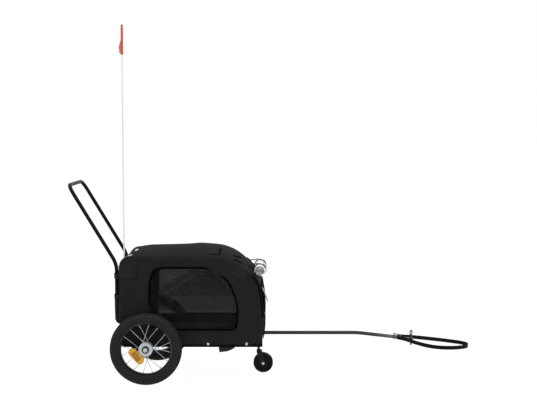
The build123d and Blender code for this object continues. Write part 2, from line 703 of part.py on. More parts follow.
# ---------------------------------------------------------------- storage strap

storage_top = RAIL_Z - R - SEAT
storage_run = STORAGE_FRONT_X - STORAGE_REAR_X
storage_edge = [
    (STORAGE_REAR_X, storage_top),
    (STORAGE_FRONT_X, storage_top),
    (STORAGE_FRONT_X - 0.25 * storage_run, storage_top - 0.48 * STORAGE_DROP),
    (STORAGE_FRONT_X - 0.47 * storage_run, storage_top - 0.78 * STORAGE_DROP),
    (STORAGE_REAR_X, storage_top - STORAGE_DROP),
]
storage_face = make_face(FilletPolyline(*storage_edge, radius=[2, 4, 20, 30, 4], close=True))
nodes["storage_strap"] = across(
    storage_face, -HOOP_Y - STORAGE_THICK / 2, -HOOP_Y + STORAGE_THICK / 2
)

# ---------------------------------------------------------------- axle and main wheels

AXLE_TUBE_END = SIDE_INNER
axle_tube = rod((0, -AXLE_TUBE_END, AXLE_Z), (0, AXLE_TUBE_END, AXLE_Z), AXLE_TUBE_DIA / 2)
fat_rail = rail(HOOP_Y, R + WELD)
stub_bore = rod((0, AXLE_TUBE_END - STUB_INSET, AXLE_Z), (0, AXLE_TUBE_END, AXLE_Z), STUB_DIA / 2 + WELD)
axle_tube = axle_tube - fat_rail - mirrored(fat_rail) - stub_bore - mirrored(stub_bore)
nodes["axle_tube"] = max(axle_tube.solids(), key=lambda s: s.volume)

WHEEL_Y = HALF_WIDTH + WHEEL_GAP + TYRE_WIDTH / 2
HUB_INNER = WHEEL_Y - HUB_LENGTH / 2
HUB_OUTER = WHEEL_Y + HUB_LENGTH / 2
stub = rod((0, AXLE_TUBE_END - STUB_INSET + 1, AXLE_Z), (0, HUB_OUTER + NUT_THICK, AXLE_Z), STUB_DIA / 2)
stub += rod((0, AXLE_TUBE_END + SEAT, AXLE_Z), (0, HUB_INNER - SEAT, AXLE_Z), COLLAR_DIA / 2)
nut_plane = Plane((0, HUB_OUTER + SEAT, AXLE_Z), z_dir=(0, 1, 0))
stub += extrude(nut_plane * RegularPolygon(NUT_DIA / 2, 6), amount=NUT_THICK)
left_stub = max((stub - fat_rail).solids(), key=lambda s: s.volume)
nodes["left_stub_axle"] = left_stub
nodes["right_stub_axle"] = mirrored(left_stub)


def wheel_place(y):
    """Wheel space: local z points out of the trailer's left side, local x forward."""
    return Plane((0, y, AXLE_Z), x_dir=(1, 0, 0), z_dir=(0, 1, 0))


def turned(profile):
    """A profile of (radius, offset from the wheel's middle plane) points, turned about the axle."""
    face = make_face(Polyline(*[(r, 0, z) for r, z in profile], close=True))
    return revolve(face, axis=Axis.Z)


def tyre_solid(outer, width, height):
    """A round tyre section with a slightly flattened tread."""
    crown, base = outer, outer - height
    shoulder = outer - 0.24 * height
    half = width / 2
    bead = BEAD_SHARE * width
    foot = base + BEAD_WALL * height
    belly = base + 0.5 * height
    line = Polyline((foot, 0, -bead), (base, 0, -bead), (base, 0, bead), (foot, 0, bead))
    side_up = ThreePointArc((foot, 0, bead), (belly, 0, half), (shoulder, 0, 0.78 * half))
    tread = ThreePointArc((shoulder, 0, 0.78 * half), (crown, 0, 0), (shoulder, 0, -0.78 * half))
    side_down = ThreePointArc((shoulder, 0, -0.78 * half), (belly, 0, -half), (foot, 0, -bead))
    return revolve(make_face(Curve() + [line, side_up, tread, side_down]), axis=Axis.Z)


def rim_solid():
    """A box-section rim with a well between two flanges that hold the tyre's beads."""
    inner = RIM_OPENING_DIA / 2
    bed = WHEEL_DIA / 2 - TYRE_HEIGHT - SEAT
    seat = BEAD_SHARE * TYRE_WIDTH + SEAT
    half = seat + RIM_FLANGE
    lip = bed + BEAD_WALL * TYRE_HEIGHT - SEAT
    below = bed - RIM_FLANGE
    crown = half / 2
    profile = [
        (inner, -crown), (inner, crown), (below, half), (lip, half), (lip, seat),
        (bed, seat), (bed, -seat), (lip, -seat), (lip, -half), (below, -half),
    ]
    return turned(profile)


def hub_solid():
    """Barrel, two stamped flanges and the bore that runs on the stub axle."""
    barrel = Cylinder(HUB_DIA / 2, HUB_LENGTH)
    flanges = [
        Pos(0, 0, side * FLANGE_SPACING / 2) * Cylinder(FLANGE_DIA / 2, FLANGE_THICK) for side in (-1, 1)
    ]
    return barrel + flanges[0] + flanges[1] - Cylinder(STUB_DIA / 2 + RUN, 2 * HUB_LENGTH)


HOLE_RADIUS = FLANGE_DIA / 2 - 4.0
RIM_FIT = RIM_OPENING_DIA / 2 + 0.5


def spoke_ends():
    """(hub point, rim point) of every spoke; sides alternate, and each side's spokes cross in pairs."""
    ends = []
    for k in range(SPOKE_COUNT):
        side = 1 if k % 2 == 0 else -1
        lead = -SPOKE_LEAD if (k // 2) % 2 == 0 else SPOKE_LEAD
        at_rim = radians(360 / SPOKE_COUNT * (k + 0.5) + SPOKE_PHASE)
        at_hub = at_rim + radians(lead)
        face = side * (FLANGE_SPACING / 2 + (FLANGE_THICK + SPOKE_DIA) / 2 * (1 if lead > 0 else -1))
        hub_point = (HOLE_RADIUS * cos(at_hub), HOLE_RADIUS * sin(at_hub), face)
        rim_point = (RIM_FIT * cos(at_rim), RIM_FIT * sin(at_rim), side * 3.0)
        ends.append((hub_point, rim_point))
    return ends


def wheel_parts():
    """Tyre, rim, hub, spokes and reflector in wheel space."""
    tyre = tyre_solid(WHEEL_DIA / 2, TYRE_WIDTH, TYRE_HEIGHT)
    rim = rim_solid()
    hub = hub_solid()
    wires = [rod(a, b, SPOKE_DIA / 2) for a, b in spoke_ends()]
    wires = [max((w - rim - hub).solids(), key=lambda s: s.volume) for w in wires]
    lean = radians(REFLECTOR_ANGLE)
    deck = FLANGE_SPACING / 2 - 4.0
    body = extrude(SlotOverall(REFLECTOR_LENGTH, REFLECTOR_WIDTH), amount=REFLECTOR_THICK)
    place = Pos(REFLECTOR_RADIUS * cos(lean), REFLECTOR_RADIUS * sin(lean), deck)
    reflector = place * Rot(0, 0, REFLECTOR_ANGLE + REFLECTOR_TILT + 90) * body
    for a, b in spoke_ends():
        reflector -= rod(a, b, SPOKE_DIA / 2 + 0.1)
    reflector -= Cylinder(FLANGE_DIA / 2 + SEAT, 4 * FLANGE_SPACING)
    reflector = max(reflector.solids(), key=lambda s: s.volume)
    return {"tyre": tyre, "rim": rim, "hub": hub, "spokes": wires, "reflector": reflector}


for side_name, y in (("left", WHEEL_Y), ("right", -WHEEL_Y)):
    for part_name, shape in wheel_parts().items():
        pieces = shape if isinstance(shape, list) else [shape]
        placed = [wheel_place(WHEEL_Y) * piece for piece in pieces]
        if y < 0:
            placed = [mirrored(piece) for piece in placed]
        solids = [s for piece in placed for s in piece.solids()]
        nodes[f"{side_name}_wheel_{part_name}"] = solids[0] if len(solids) == 1 else Compound(children=solids)

# ---------------------------------------------------------------- front caster

CASTER_X = CASTER_STEM_X + CASTER_LEAD
CASTER_R = CASTER_DIA / 2
caster_plane = Plane((CASTER_X, 0, CASTER_R), x_dir=(1, 0, 0), z_dir=(0, 1, 0))
CASTER_BED = CASTER_R - 14.0
caster_tyre = tyre_solid(CASTER_R, CASTER_WIDTH, CASTER_R - CASTER_BED)
nodes["caster_tyre"] = caster_plane * caster_tyre
hub_width = CASTER_WIDTH + 4.0
caster_hub = Cylinder(CASTER_BED - SEAT, 0.56 * CASTER_WIDTH) + Cylinder(CASTER_BOLT_DIA / 2 + 5.0, hub_width)
nodes["caster_hub"] = caster_plane * (caster_hub - Cylinder(CASTER_BOLT_DIA / 2 + RUN, 2 * hub_width))

FORK_INNER = CASTER_WIDTH / 2 + SWING
CROWN_BOTTOM = CASTER_DIA + SWING
leg_lean = make_face(
    Polyline(
        (CASTER_STEM_X - FORK_BACK, CROWN_BOTTOM),
        (CASTER_STEM_X + FORK_FRONT, CROWN_BOTTOM),
        (CASTER_X + 11, CASTER_R + 4),
        (CASTER_X + 8, CASTER_R - 9),
        (CASTER_X - 8, CASTER_R - 9),
        close=True,
    )
)
legs = across(leg_lean, FORK_INNER, FORK_INNER + FORK_PLATE)
legs += across(leg_lean, -FORK_INNER - FORK_PLATE, -FORK_INNER)
crown = block(
    (CASTER_STEM_X - FORK_BACK, -FORK_INNER - FORK_PLATE, CROWN_BOTTOM),
    (CASTER_STEM_X + FORK_FRONT, FORK_INNER + FORK_PLATE, CROWN_BOTTOM + FORK_CROWN),
)
boss_top = CROWN_BOTTOM + FORK_CROWN + BOSS_HEIGHT
boss = rod((CASTER_STEM_X, 0, CROWN_BOTTOM + 1), (CASTER_STEM_X, 0, boss_top), BOSS_DIA / 2)
bolt_hole = rod((CASTER_X, -60, CASTER_R), (CASTER_X, 60, CASTER_R), CASTER_BOLT_DIA / 2 + WELD)
stem = rod((CASTER_STEM_X, 0, CROWN_BOTTOM + 1), (CASTER_STEM_X, 0, HEAD_TOP), CASTER_STEM_DIA / 2)
nodes["caster_fork"] = legs + crown + boss + stem - bolt_hole
bolt_half = FORK_INNER + FORK_PLATE + SEAT
bolt = rod((CASTER_X, -bolt_half, CASTER_R), (CASTER_X, bolt_half, CASTER_R), CASTER_BOLT_DIA / 2)
for side in (-1, 1):
    head_plane = Plane((CASTER_X, side * bolt_half, CASTER_R), z_dir=(0, side, 0))
    bolt += extrude(head_plane * RegularPolygon(BOLT_HEAD_DIA / 2, 6), amount=BOLT_HEAD_THICK)
nodes["caster_bolt"] = bolt
head = rod((CASTER_STEM_X, 0, HEAD_BOTTOM), (CASTER_STEM_X, 0, HEAD_TOP), HEAD_RADIUS)
head -= rod((CASTER_STEM_X, 0, 0), (CASTER_STEM_X, 0, HEAD_TOP + 1), CASTER_STEM_DIA / 2 + RUN)
nodes["caster_head_tube"] = head

# ---------------------------------------------------------------- origin, joints and export

CORD_NODES = ("safety_strap",)
boxes = [shape.bounding_box() for name, shape in nodes.items() if name not in CORD_NODES]
CENTRE_X = (min(b.min.X for b in boxes) + max(b.max.X for b in boxes)) / 2

door_top_face = nodes["front_door"].faces().sort_by(Axis.Z)[-1]
HINGE = (door_top_face.bounding_box().min.X, DOOR_TOP)

for name, shape in nodes.items():
    solids = [Pos(-CENTRE_X, 0, 0) * solid for solid in shape.solids()]
    export_step(solids[0] if len(solids) == 1 else Compound(children=solids), f"parts/{name}.step")
print(len(nodes), "nodes, CENTRE_X", round(CENTRE_X, 2))
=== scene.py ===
import math

import bmesh
import bpy
import numpy as np
import mathutils.geometry
from mathutils import Matrix, Vector, noise


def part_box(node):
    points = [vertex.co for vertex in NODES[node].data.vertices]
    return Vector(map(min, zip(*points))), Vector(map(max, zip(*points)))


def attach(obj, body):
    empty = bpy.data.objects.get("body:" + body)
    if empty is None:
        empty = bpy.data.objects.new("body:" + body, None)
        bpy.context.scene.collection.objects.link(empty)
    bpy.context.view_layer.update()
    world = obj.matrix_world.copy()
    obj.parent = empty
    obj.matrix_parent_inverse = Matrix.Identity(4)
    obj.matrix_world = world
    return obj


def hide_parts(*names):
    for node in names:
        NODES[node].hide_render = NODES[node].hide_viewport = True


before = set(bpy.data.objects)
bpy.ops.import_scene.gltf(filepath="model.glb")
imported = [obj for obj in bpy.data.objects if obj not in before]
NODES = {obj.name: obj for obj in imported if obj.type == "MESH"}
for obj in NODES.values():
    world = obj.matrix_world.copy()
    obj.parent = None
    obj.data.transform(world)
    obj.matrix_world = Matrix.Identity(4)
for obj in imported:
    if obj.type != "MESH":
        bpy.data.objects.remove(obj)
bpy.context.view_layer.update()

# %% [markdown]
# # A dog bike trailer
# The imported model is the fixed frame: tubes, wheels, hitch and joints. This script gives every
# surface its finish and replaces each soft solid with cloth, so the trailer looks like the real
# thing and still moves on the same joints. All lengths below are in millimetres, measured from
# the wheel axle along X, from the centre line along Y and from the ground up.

tyre_low, tyre_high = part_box("left_wheel_tyre")
AXLE_X = (tyre_low[0] + tyre_high[0]) / 2
AXLE_Z = 1000 * (tyre_low[2] + tyre_high[2]) / 2
SIDES = {"left": 1, "right": -1}
print("nodes:", len(NODES), "axle at x", round(AXLE_X, 4), "m, height", round(AXLE_Z, 1), "mm")

# %% [markdown]
# Every piece is written in millimetres from the axle and stored in metres, so one small function
# does the change. A piece's object stays at the origin and its place is in its mesh. Cloth gets a
# UV map in metres: one unit across the map is one metre of cloth, so a weave keeps its scale on
# every panel.


# %% Making a piece from points and faces
def place(x, y, z):
    """A point in millimetres from the axle, as metres in the frame."""
    return Vector((AXLE_X + x / 1000, y / 1000, z / 1000))


def add_object(name, data):
    """A new object at the origin, linked to the scene."""
    made = bpy.data.objects.new(name, data)
    bpy.context.scene.collection.objects.link(made)
    return made


def make_piece(name, points, faces, material, uvs=None, corner_uvs=None, smooth=True):
    """A mesh object at the origin from points in metres, with a UV for each point or face corner."""
    mesh = bpy.data.meshes.new(name)
    mesh.from_pydata([tuple(p) for p in points], [], faces)
    mesh.update()
    if uvs is not None or corner_uvs is not None:
        layer = mesh.uv_layers.new(name="cloth")
        for loop in mesh.loops:
            layer.data[loop.index].uv = uvs[loop.vertex_index] if uvs else corner_uvs[loop.index]
    for face in mesh.polygons:
        face.use_smooth = smooth
    mesh.materials.append(material)
    return add_object(name, mesh)


def grid_faces(rows, columns, keep=None):
    """Quads of a grid of points stored row by row; keep(row, column) may leave some out."""
    return [
        (r * columns + c, r * columns + c + 1, (r + 1) * columns + c + 1, (r + 1) * columns + c)
        for r in range(rows - 1)
        for c in range(columns - 1)
        if keep is None or keep(r, c)
    ]

# %% [markdown]
# Cloth and netting are modelled as sheets and given their thickness by a Solidify modifier, which
# stays on them. What a node tree makes is turned into a plain mesh, and small meshes are joined
# into one piece.


# %% Thickness, plain meshes and joining
def thicken(piece, thickness, offset=-1.0, levels=1):
    """Gives a sheet its thickness in millimetres, then rounds it with a subdivision surface."""
    wall = piece.modifiers.new("thickness", "SOLIDIFY")
    wall.thickness = thickness / 1000
    wall.offset = offset
    wall.use_even_offset = False
    if levels:
        smooth = piece.modifiers.new("smooth", "SUBSURF")
        smooth.levels = smooth.render_levels = levels
    return piece


def plain_mesh(source, name, material):
    """Turns what an object's curves, nodes or modifiers make into a plain mesh piece."""
    bpy.context.view_layer.update()
    evaluated = source.evaluated_get(bpy.context.evaluated_depsgraph_get())
    mesh = bpy.data.meshes.new_from_object(evaluated)
    mesh.name = name
    piece = add_object(name, mesh)
    mesh.materials.clear()
    mesh.materials.append(material)
    for face in mesh.polygons:
        face.use_smooth = True
    bpy.data.objects.remove(source, do_unlink=True)
    return piece


def join_pieces(name, pieces):
    """Joins meshes that sit at the origin into one piece, keeping their materials."""
    build = bmesh.new()
    materials = []
    for piece in pieces:
        start = len(build.faces)
        build.from_mesh(piece.data)
        slots = []
        for material in piece.data.materials:
            if material not in materials:
                materials.append(material)
            slots.append(materials.index(material))
        build.faces.ensure_lookup_table()
        for face in build.faces[start:]:
            face.material_index = slots[face.material_index] if slots else 0
        bpy.data.objects.remove(piece, do_unlink=True)
    mesh = bpy.data.meshes.new(name)
    build.to_mesh(mesh)
    build.free()
    for material in materials:
        mesh.materials.append(material)
    return add_object(name, mesh)


# %% [markdown]
# The camera stands where a product photographer would: level with a person's chest, looking a
# little down, far enough away that the trailer's two sides almost line up. The safety strap is the
# only free cord, so its route comes right after the camera.

# %% Camera
CAMERA_PLACE = (0.1024, -4.733, 1.1073)
CAMERA_TILT_DOWN = 4.3946
CAMERA_LENS = 72.4

camera_data = bpy.data.cameras.new("camera")
camera_data.lens = CAMERA_LENS
camera_data.sensor_width = 36.0
camera_data.clip_end = 60.0
camera = add_object("camera", camera_data)
camera.location = CAMERA_PLACE
camera.rotation_euler = (math.radians(90 - CAMERA_TILT_DOWN), 0, 0)
bpy.context.scene.camera = camera
bpy.context.scene.view_settings.view_transform = "Standard"
print("camera at", CAMERA_PLACE, "lens", CAMERA_LENS, "mm")

# %% [markdown]
# ## Finishes
# Most of this trailer is black, so the finishes differ in weave, gloss and small changes of tone
# rather than in colour. Three effects are shared by many materials and are node groups, built once:
# a plain weave for cloth, a ribbed weave for webbing, and a soft blotchy variation for everything.
# Each gives out only numbers that change over the surface. The shaders stay in the materials.


# %% Shared node groups
def node_group(name, inputs, outputs):
    """An empty shader node group with named sockets; inputs are (name, type, default)."""
    group = bpy.data.node_groups.new(name, "ShaderNodeTree")
    for label, kind, default in inputs:
        socket = group.interface.new_socket(label, in_out="INPUT", socket_type=kind)
        if default is not None:
            socket.default_value = default
    for label in outputs:
        group.interface.new_socket(label, in_out="OUTPUT", socket_type="NodeSocketFloat")
    return group, group.nodes.new("NodeGroupInput"), group.nodes.new("NodeGroupOutput")


def feed(tree, socket, value):
    """Gives a socket a number or colour of its own, or links another socket to it."""
    if isinstance(value, bpy.types.NodeSocket):
        tree.links.new(value, socket)
    else:
        socket.default_value = value


def add_node(tree, kind, **inputs):
    """A node whose named inputs take numbers, colours or sockets."""
    node = tree.nodes.new(kind)
    for label, value in inputs.items():
        feed(tree, node.inputs[label.replace("_", " ")], value)
    return node


def maths(tree, operation, *values, clamp=False):
    """One Math node; each operand is a socket or a number."""
    node = tree.nodes.new("ShaderNodeMath")
    node.operation = operation
    node.use_clamp = clamp
    for slot, value in enumerate(values):
        feed(tree, node.inputs[slot], value)
    return node.outputs[0]


def axes(tree, vector):
    """The x, y and z of a vector socket."""
    return add_node(tree, "ShaderNodeSeparateXYZ", Vector=vector).outputs

# %% [markdown]
# Both weaves are products or sums of sine waves over the cloth's own UV map, so they need no image
# and keep their scale everywhere. The blotches are two sizes of noise.


# %% Weave, webbing ribs and soft variation
def weave_group():
    """Plain weave: threads go over and under each other in both directions."""
    group, given, out = node_group(
        "plain weave",
        [("Vector", "NodeSocketVector", None), ("Threads per metre", "NodeSocketFloat", 1200.0)],
        ["Height"],
    )
    flat = axes(group, given.outputs["Vector"])
    turn = maths(group, "MULTIPLY", given.outputs["Threads per metre"], math.pi)
    waves = [maths(group, "SINE", maths(group, "MULTIPLY", flat[k], turn)) for k in (0, 1)]
    both = maths(group, "MULTIPLY", *waves)
    group.links.new(maths(group, "MULTIPLY_ADD", both, 0.5, 0.5), out.inputs["Height"])
    return group


def webbing_group():
    """Webbing: close ribs across the band, with a fine slant from the twisted yarns."""
    group, given, out = node_group(
        "webbing ribs",
        [("Vector", "NodeSocketVector", None), ("Ribs per metre", "NodeSocketFloat", 700.0)],
        ["Height"],
    )
    flat = axes(group, given.outputs["Vector"])
    slant = maths(group, "ADD", flat[0], maths(group, "MULTIPLY", flat[1], 0.5))
    turn = maths(group, "MULTIPLY", given.outputs["Ribs per metre"], 2 * math.pi)
    wave = maths(group, "SINE", maths(group, "MULTIPLY", slant, turn))
    group.links.new(maths(group, "MULTIPLY_ADD", wave, 0.5, 0.5), out.inputs["Height"])
    return group


def blotch_group():
    """Soft variation at two sizes, centred on a half, for tone and gloss that is never even."""
    group, given, out = node_group(
        "soft variation",
        [("Vector", "NodeSocketVector", None), ("Scale", "NodeSocketFloat", 12.0)],
        ["Value", "Fine"],
    )
    vector, scale = given.outputs["Vector"], given.outputs["Scale"]
    for label, factor, detail in (("Value", 1.0, 3.0), ("Fine", 14.0, 2.0)):
        finer = maths(group, "MULTIPLY", scale, factor)
        spots = add_node(group, "ShaderNodeTexNoise", Vector=vector, Scale=finer, Detail=detail)
        group.links.new(spots.outputs["Fac"], out.inputs[label])
    return group


WEAVE, RIBS, BLOTCH = weave_group(), webbing_group(), blotch_group()
print("groups:", WEAVE.name, "|", RIBS.name, "|", BLOTCH.name)


# %% [markdown]
# A finish is one of Blender's own shaders with its tone and roughness let drift a little between
# two values. Bumps are given in millimetres, so a weave and a wrinkle can be told apart.


# %% A finish that is never quite even
def add_group(tree, group, **values):
    """Places a shared group in a material and sets its named inputs."""
    node = tree.nodes.new("ShaderNodeGroup")
    node.node_tree = group
    for label, value in values.items():
        feed(tree, node.inputs[label.replace("_", " ")], value)
    return node


def mix_colour(tree, share, first, second):
    """A colour between two others, by a share from 0 to 1; either may be a socket."""
    node = tree.nodes.new("ShaderNodeMix")
    node.data_type = "RGBA"
    feed(tree, node.inputs[0], share)
    for slot, value in ((6, first), (7, second)):
        feed(tree, node.inputs[slot], value if isinstance(value, bpy.types.NodeSocket) else (*value, 1.0))
    return node.outputs[2]


def between(tree, share, low, high):
    """A number that runs from low to high as a share goes from 0 to 1."""
    return maths(tree, "MULTIPLY_ADD", share, high - low, low)


def recolour(tree, shader, share, colour):
    """Mixes another colour over a shader's own, by a share from 0 to 1."""
    base = shader.inputs["Base Color"]
    tree.links.new(mix_colour(tree, share, base.links[0].from_socket, colour), base)


def finish(name, dark, light, rough, scale=12.0, uv=False, **sockets):
    """A material whose tone and roughness drift softly. Returns its parts for further detail."""
    material = bpy.data.materials.new(name)
    material.use_nodes = True
    tree = material.node_tree
    shader = tree.nodes["Principled BSDF"]
    where = tree.nodes.new("ShaderNodeTexCoord").outputs["UV" if uv else "Object"]
    spots = add_group(tree, BLOTCH, Vector=where, Scale=scale)
    tone = maths(tree, "MULTIPLY_ADD", spots.outputs["Value"], 2.2, -0.6, clamp=True)
    tree.links.new(mix_colour(tree, tone, dark, light), shader.inputs["Base Color"])
    tree.links.new(between(tree, spots.outputs["Fine"], *rough), shader.inputs["Roughness"])
    for label, value in sockets.items():
        shader.inputs[label.replace("_", " ")].default_value = value
    return material, tree, shader, where


def relief(tree, shader, *heights):
    """Bumps in millimetres: each height is a socket from 0 to 1 and how deep it goes."""
    for height, depth in heights:
        bump = add_node(tree, "ShaderNodeBump", Height=height, Distance=depth / 1000)
        if shader.inputs["Normal"].is_linked:
            tree.links.new(shader.inputs["Normal"].links[0].from_socket, bump.inputs["Normal"])
        tree.links.new(bump.outputs["Normal"], shader.inputs["Normal"])


def noise_height(tree, where, scale, detail=2.0):
    """A noise texture's value, for grain, wrinkles or orange peel."""
    grain = add_node(tree, "ShaderNodeTexNoise", Vector=where, Scale=scale, Detail=detail)
    return grain.outputs["Fac"]


def grained(name, dark, light, rough, grain, depth, scale=12.0, **sockets):
    """A finish with a fine grain, given by its scale and its depth in millimetres."""
    material, tree, shader, where = finish(name, dark, light, rough, scale, **sockets)
    relief(tree, shader, (noise_height(tree, where, grain), depth))
    return material


# %% [markdown]
# ### Cloth
# The cabin is coated polyester: a tight plain weave with almost no shine. Its bump is a weave of
# one thread a millimetre, over slow wrinkles. The netting is the same idea with holes, so it needs
# Alpha: the threads are solid and the holes let most of the light through. Webbing has ribs across
# it.


# %% Cabin cloth, netting, webbing and piping
def woven(name, dark, light, threads, depth=0.12, rough=(0.7, 0.95), wrinkle=0.5, **sockets):
    """Woven cloth with its own thread count, on a UV map in metres."""
    material, tree, shader, where = finish(name, dark, light, rough, scale=9.0, uv=True, **sockets)
    weave = add_group(tree, WEAVE, Vector=where, Threads_per_metre=threads)
    relief(tree, shader, (noise_height(tree, where, 26.0, 3.0), wrinkle), (weave.outputs["Height"], depth))
    return material


# The roof's copy of the canvas is the same cloth as the side's, painted darker: painted shade that offsets
# the lamp overhead.
ROOF_CLOTH_SHADED = woven("coated canvas, shaded copy for the roof", (0.0072,) * 3, (0.0088,) * 3, 900, Specular_IOR_Level=0.045)
BODY_CLOTH = woven("coated side canvas", (0.0107,) * 3, (0.0134,) * 3, 900, Specular_IOR_Level=0.1)
# A near-black copy of the canvas: painted shade on the front's side edges, and on the rear pocket.
PAINTED_SHADE_CLOTH = woven("near-black cloth, painted shade", (0.0025,) * 3, (0.0045,) * 3, 900, Specular_IOR_Level=0.03)
HEM_TAPE = woven("black hem tape", (0.002,) * 3, (0.004,) * 3, 1400, Specular_IOR_Level=0.04)
PATCH_CLOTH = woven("reinforcing patch cloth", (0.0135,) * 3, (0.0165,) * 3, 700, Specular_IOR_Level=0.1)


def netting(name, colour, pitch, thread_alpha, hole_alpha):
    """Knitted netting: round holes in staggered rows, pitch in millimetres."""
    material, tree, shader, where = finish(name, colour, tuple(c * 1.3 for c in colour), (0.6, 0.8), uv=True)
    flat = axes(tree, where)
    turn = 2000 * math.pi / pitch
    turns = (turn, turn * 0.577)
    waves = [maths(tree, "COSINE", maths(tree, "MULTIPLY", flat[k], turns[k])) for k in (0, 1)]
    both = maths(tree, "MULTIPLY", *waves)
    hole = maths(tree, "MULTIPLY_ADD", both, 2.4, -0.35, clamp=True)
    tree.links.new(between(tree, hole, thread_alpha, hole_alpha), shader.inputs["Alpha"])
    recolour(tree, shader, hole, (0.001,) * 3)
    relief(tree, shader, (hole, -0.2))
    shader.inputs["Specular IOR Level"].default_value = 0.04
    return material


NETTING = netting("window netting", (0.0155,) * 3, 1.7, 0.39, 0.335)
CURTAIN = netting("inner curtain", (0.008,) * 3, 0.9, 0.40, 0.37)
CURTAIN_DENSE_BAND = netting("inner curtain, denser band", (0.008,) * 3, 0.9, 0.32, 0.29)
CURTAIN_FOOT = netting("inner curtain, thin foot", (0.008,) * 3, 0.9, 0.20, 0.16)


def webbing(name, dark, light):
    """Woven webbing; its UV runs along the band and then round it, both in metres."""
    material, tree, shader, where = finish(
        name, dark, light, (0.55, 0.8), scale=30.0, uv=True, Specular_IOR_Level=0.08
    )
    rib = add_group(tree, RIBS, Vector=where, Ribs_per_metre=620)
    relief(tree, shader, (rib.outputs["Height"], 0.25))
    return material


WEBBING = webbing("black webbing", (0.004,) * 3, (0.008,) * 3)
GREY_WEBBING = webbing("grey storage webbing", (0.02,) * 3, (0.032,) * 3)
SAFETY_WEBBING = webbing("safety strap webbing", (0.003,) * 3, (0.006,) * 3)
PIPING = grained(
    "black vinyl piping", (0.0008,) * 3, (0.0014,) * 3, (0.6, 0.8), 900.0, 0.05, Specular_IOR_Level=0.0
)
THREAD = grained(
    "black thread", (0.02,) * 3, (0.03,) * 3, (0.6, 0.8), 2500.0, 0.05, Specular_IOR_Level=0.1
)
print("cloth finishes:", len(bpy.data.materials))

# %% [markdown]
# ### Plastic, rubber and metal
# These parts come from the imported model, so their finishes use Object coordinates: the pattern
# stays in the metal as a wheel turns. Powder-coated tube has a fine orange peel, spokes and hub
# are zinc with a faint brushed grain, and rubber is matt with a little dust.

# %% Hard finishes
BLACK_TUBE = grained(
    "black powder coat", (0.006,) * 3, (0.009,) * 3, (0.3, 0.45), 700.0, 0.06, Specular_IOR_Level=0.03
)
STEEL = grained(
    "zinc plated steel", (0.42, 0.45, 0.47), (0.56, 0.59, 0.61), (0.3, 0.45), 1500.0, 0.02,
    scale=90.0, Metallic=0.85,
)
PIN_STEEL = grained(
    "dark pin steel", (0.05,) * 3, (0.09,) * 3, (0.35, 0.5), 1500.0, 0.02, scale=90.0, Metallic=0.6
)
SPRING_WIRE = grained("sprung roof wire", (0.02,) * 3, (0.035,) * 3, (0.3, 0.5), 900.0, 0.04)
BLACK_PLASTIC = grained(
    "moulded black plastic", (0.005,) * 3, (0.008,) * 3, (0.4, 0.6), 1600.0, 0.05,
    Specular_IOR_Level=0.12,
)
BLACK_RIM = grained(
    "gloss black rim", (0.005,) * 3, (0.008,) * 3, (0.2, 0.32), 600.0, 0.03,
    Specular_IOR_Level=0.2, Coat_Weight=0.1,
)
TYRE_RUBBER = grained(
    "tyre rubber", (0.012,) * 3, (0.016,) * 3, (0.55, 0.75), 900.0, 0.12,
    scale=16.0, Specular_IOR_Level=0.12,
)
CASTER_RUBBER = grained(
    "caster rubber", (0.004,) * 3, (0.006,) * 3, (0.4, 0.6), 900.0, 0.08,
    scale=20.0, Specular_IOR_Level=0.1,
)
FORK_PAINT = grained(
    "fork paint", (0.005,) * 3, (0.008,) * 3, (0.3, 0.45), 650.0, 0.05, Specular_IOR_Level=0.15
)
POLE_WHITE = grained(
    "glass fibre rod", (0.69, 0.70, 0.71), (0.73, 0.74, 0.75), (0.45, 0.55), 60.0, 0.004, scale=4.0
)
CLEAR_FILM = grained(
    "clear vinyl film", (0.92, 0.93, 0.94), (0.96, 0.97, 0.98), (0.1, 0.22), 40.0, 0.6,
    Transmission_Weight=0.15, IOR=1.3,
)

# The drawbar's coat is painted brighter ahead of its bend: a painted highlight for the reflection along that
# stretch.
HIGHLIGHT_FROM, HIGHLIGHT_LENGTH = 0.575, 1 / 12
GREY_TUBE, tree, shader, where = finish(
    "grey hammered coat", (0.034,) * 3, (0.044,) * 3, (0.5, 0.65), Specular_IOR_Level=0.04
)
ahead = axes(tree, where)[0]
painted_highlight = maths(tree, "MULTIPLY_ADD", ahead, 1 / HIGHLIGHT_LENGTH, -HIGHLIGHT_FROM / HIGHLIGHT_LENGTH, clamp=True)
# Painted highlight: a lighter grey from here forwards along the bar.
recolour(tree, shader, painted_highlight, (0.12,) * 3)
relief(tree, shader, (noise_height(tree, where, 420.0), 0.08))

FLOOR_PLY, tree, shader, where = finish(
    "black faced plywood", (0.010, 0.009, 0.008), (0.022, 0.019, 0.016), (0.5, 0.75)
)
stretch = add_node(tree, "ShaderNodeMapping", Vector=where, Scale=(8.0, 160.0, 160.0))
relief(tree, shader, (noise_height(tree, stretch.outputs[0], 1.0, 4.0), 0.15))

# %% [markdown]
# The small cloths each have something of their own: the flag is thin and bright, the zip's ribbon
# is ribbed, and the pale tape, a painted highlight on the roof, is covered with tiny cells.

# %% Mat cloth, flag cloth, zip ribbon and pale highlight tape
MAT_CLOTH = woven("quilted mat cloth", (0.014,) * 3, (0.022,) * 3, 800, wrinkle=0.8)

FLAG_CLOTH, tree, shader, where = finish(
    "signal orange cloth", (0.44, 0.06, 0.034), (0.62, 0.098, 0.055), (0.55, 0.8), 14.0, uv=True
)
weave = add_group(tree, WEAVE, Vector=where, Threads_per_metre=1600.0)
relief(tree, shader, (noise_height(tree, where, 60.0), 0.5), (weave.outputs["Height"], 0.08))

ZIP_RIBBON, tree, shader, where = finish(
    "grey zip ribbon", (0.36, 0.32, 0.33), (0.46, 0.42, 0.43), (0.5, 0.7), uv=True
)
rib = add_group(tree, RIBS, Vector=where, Ribs_per_metre=900.0)
relief(tree, shader, (rib.outputs["Height"], 0.15))

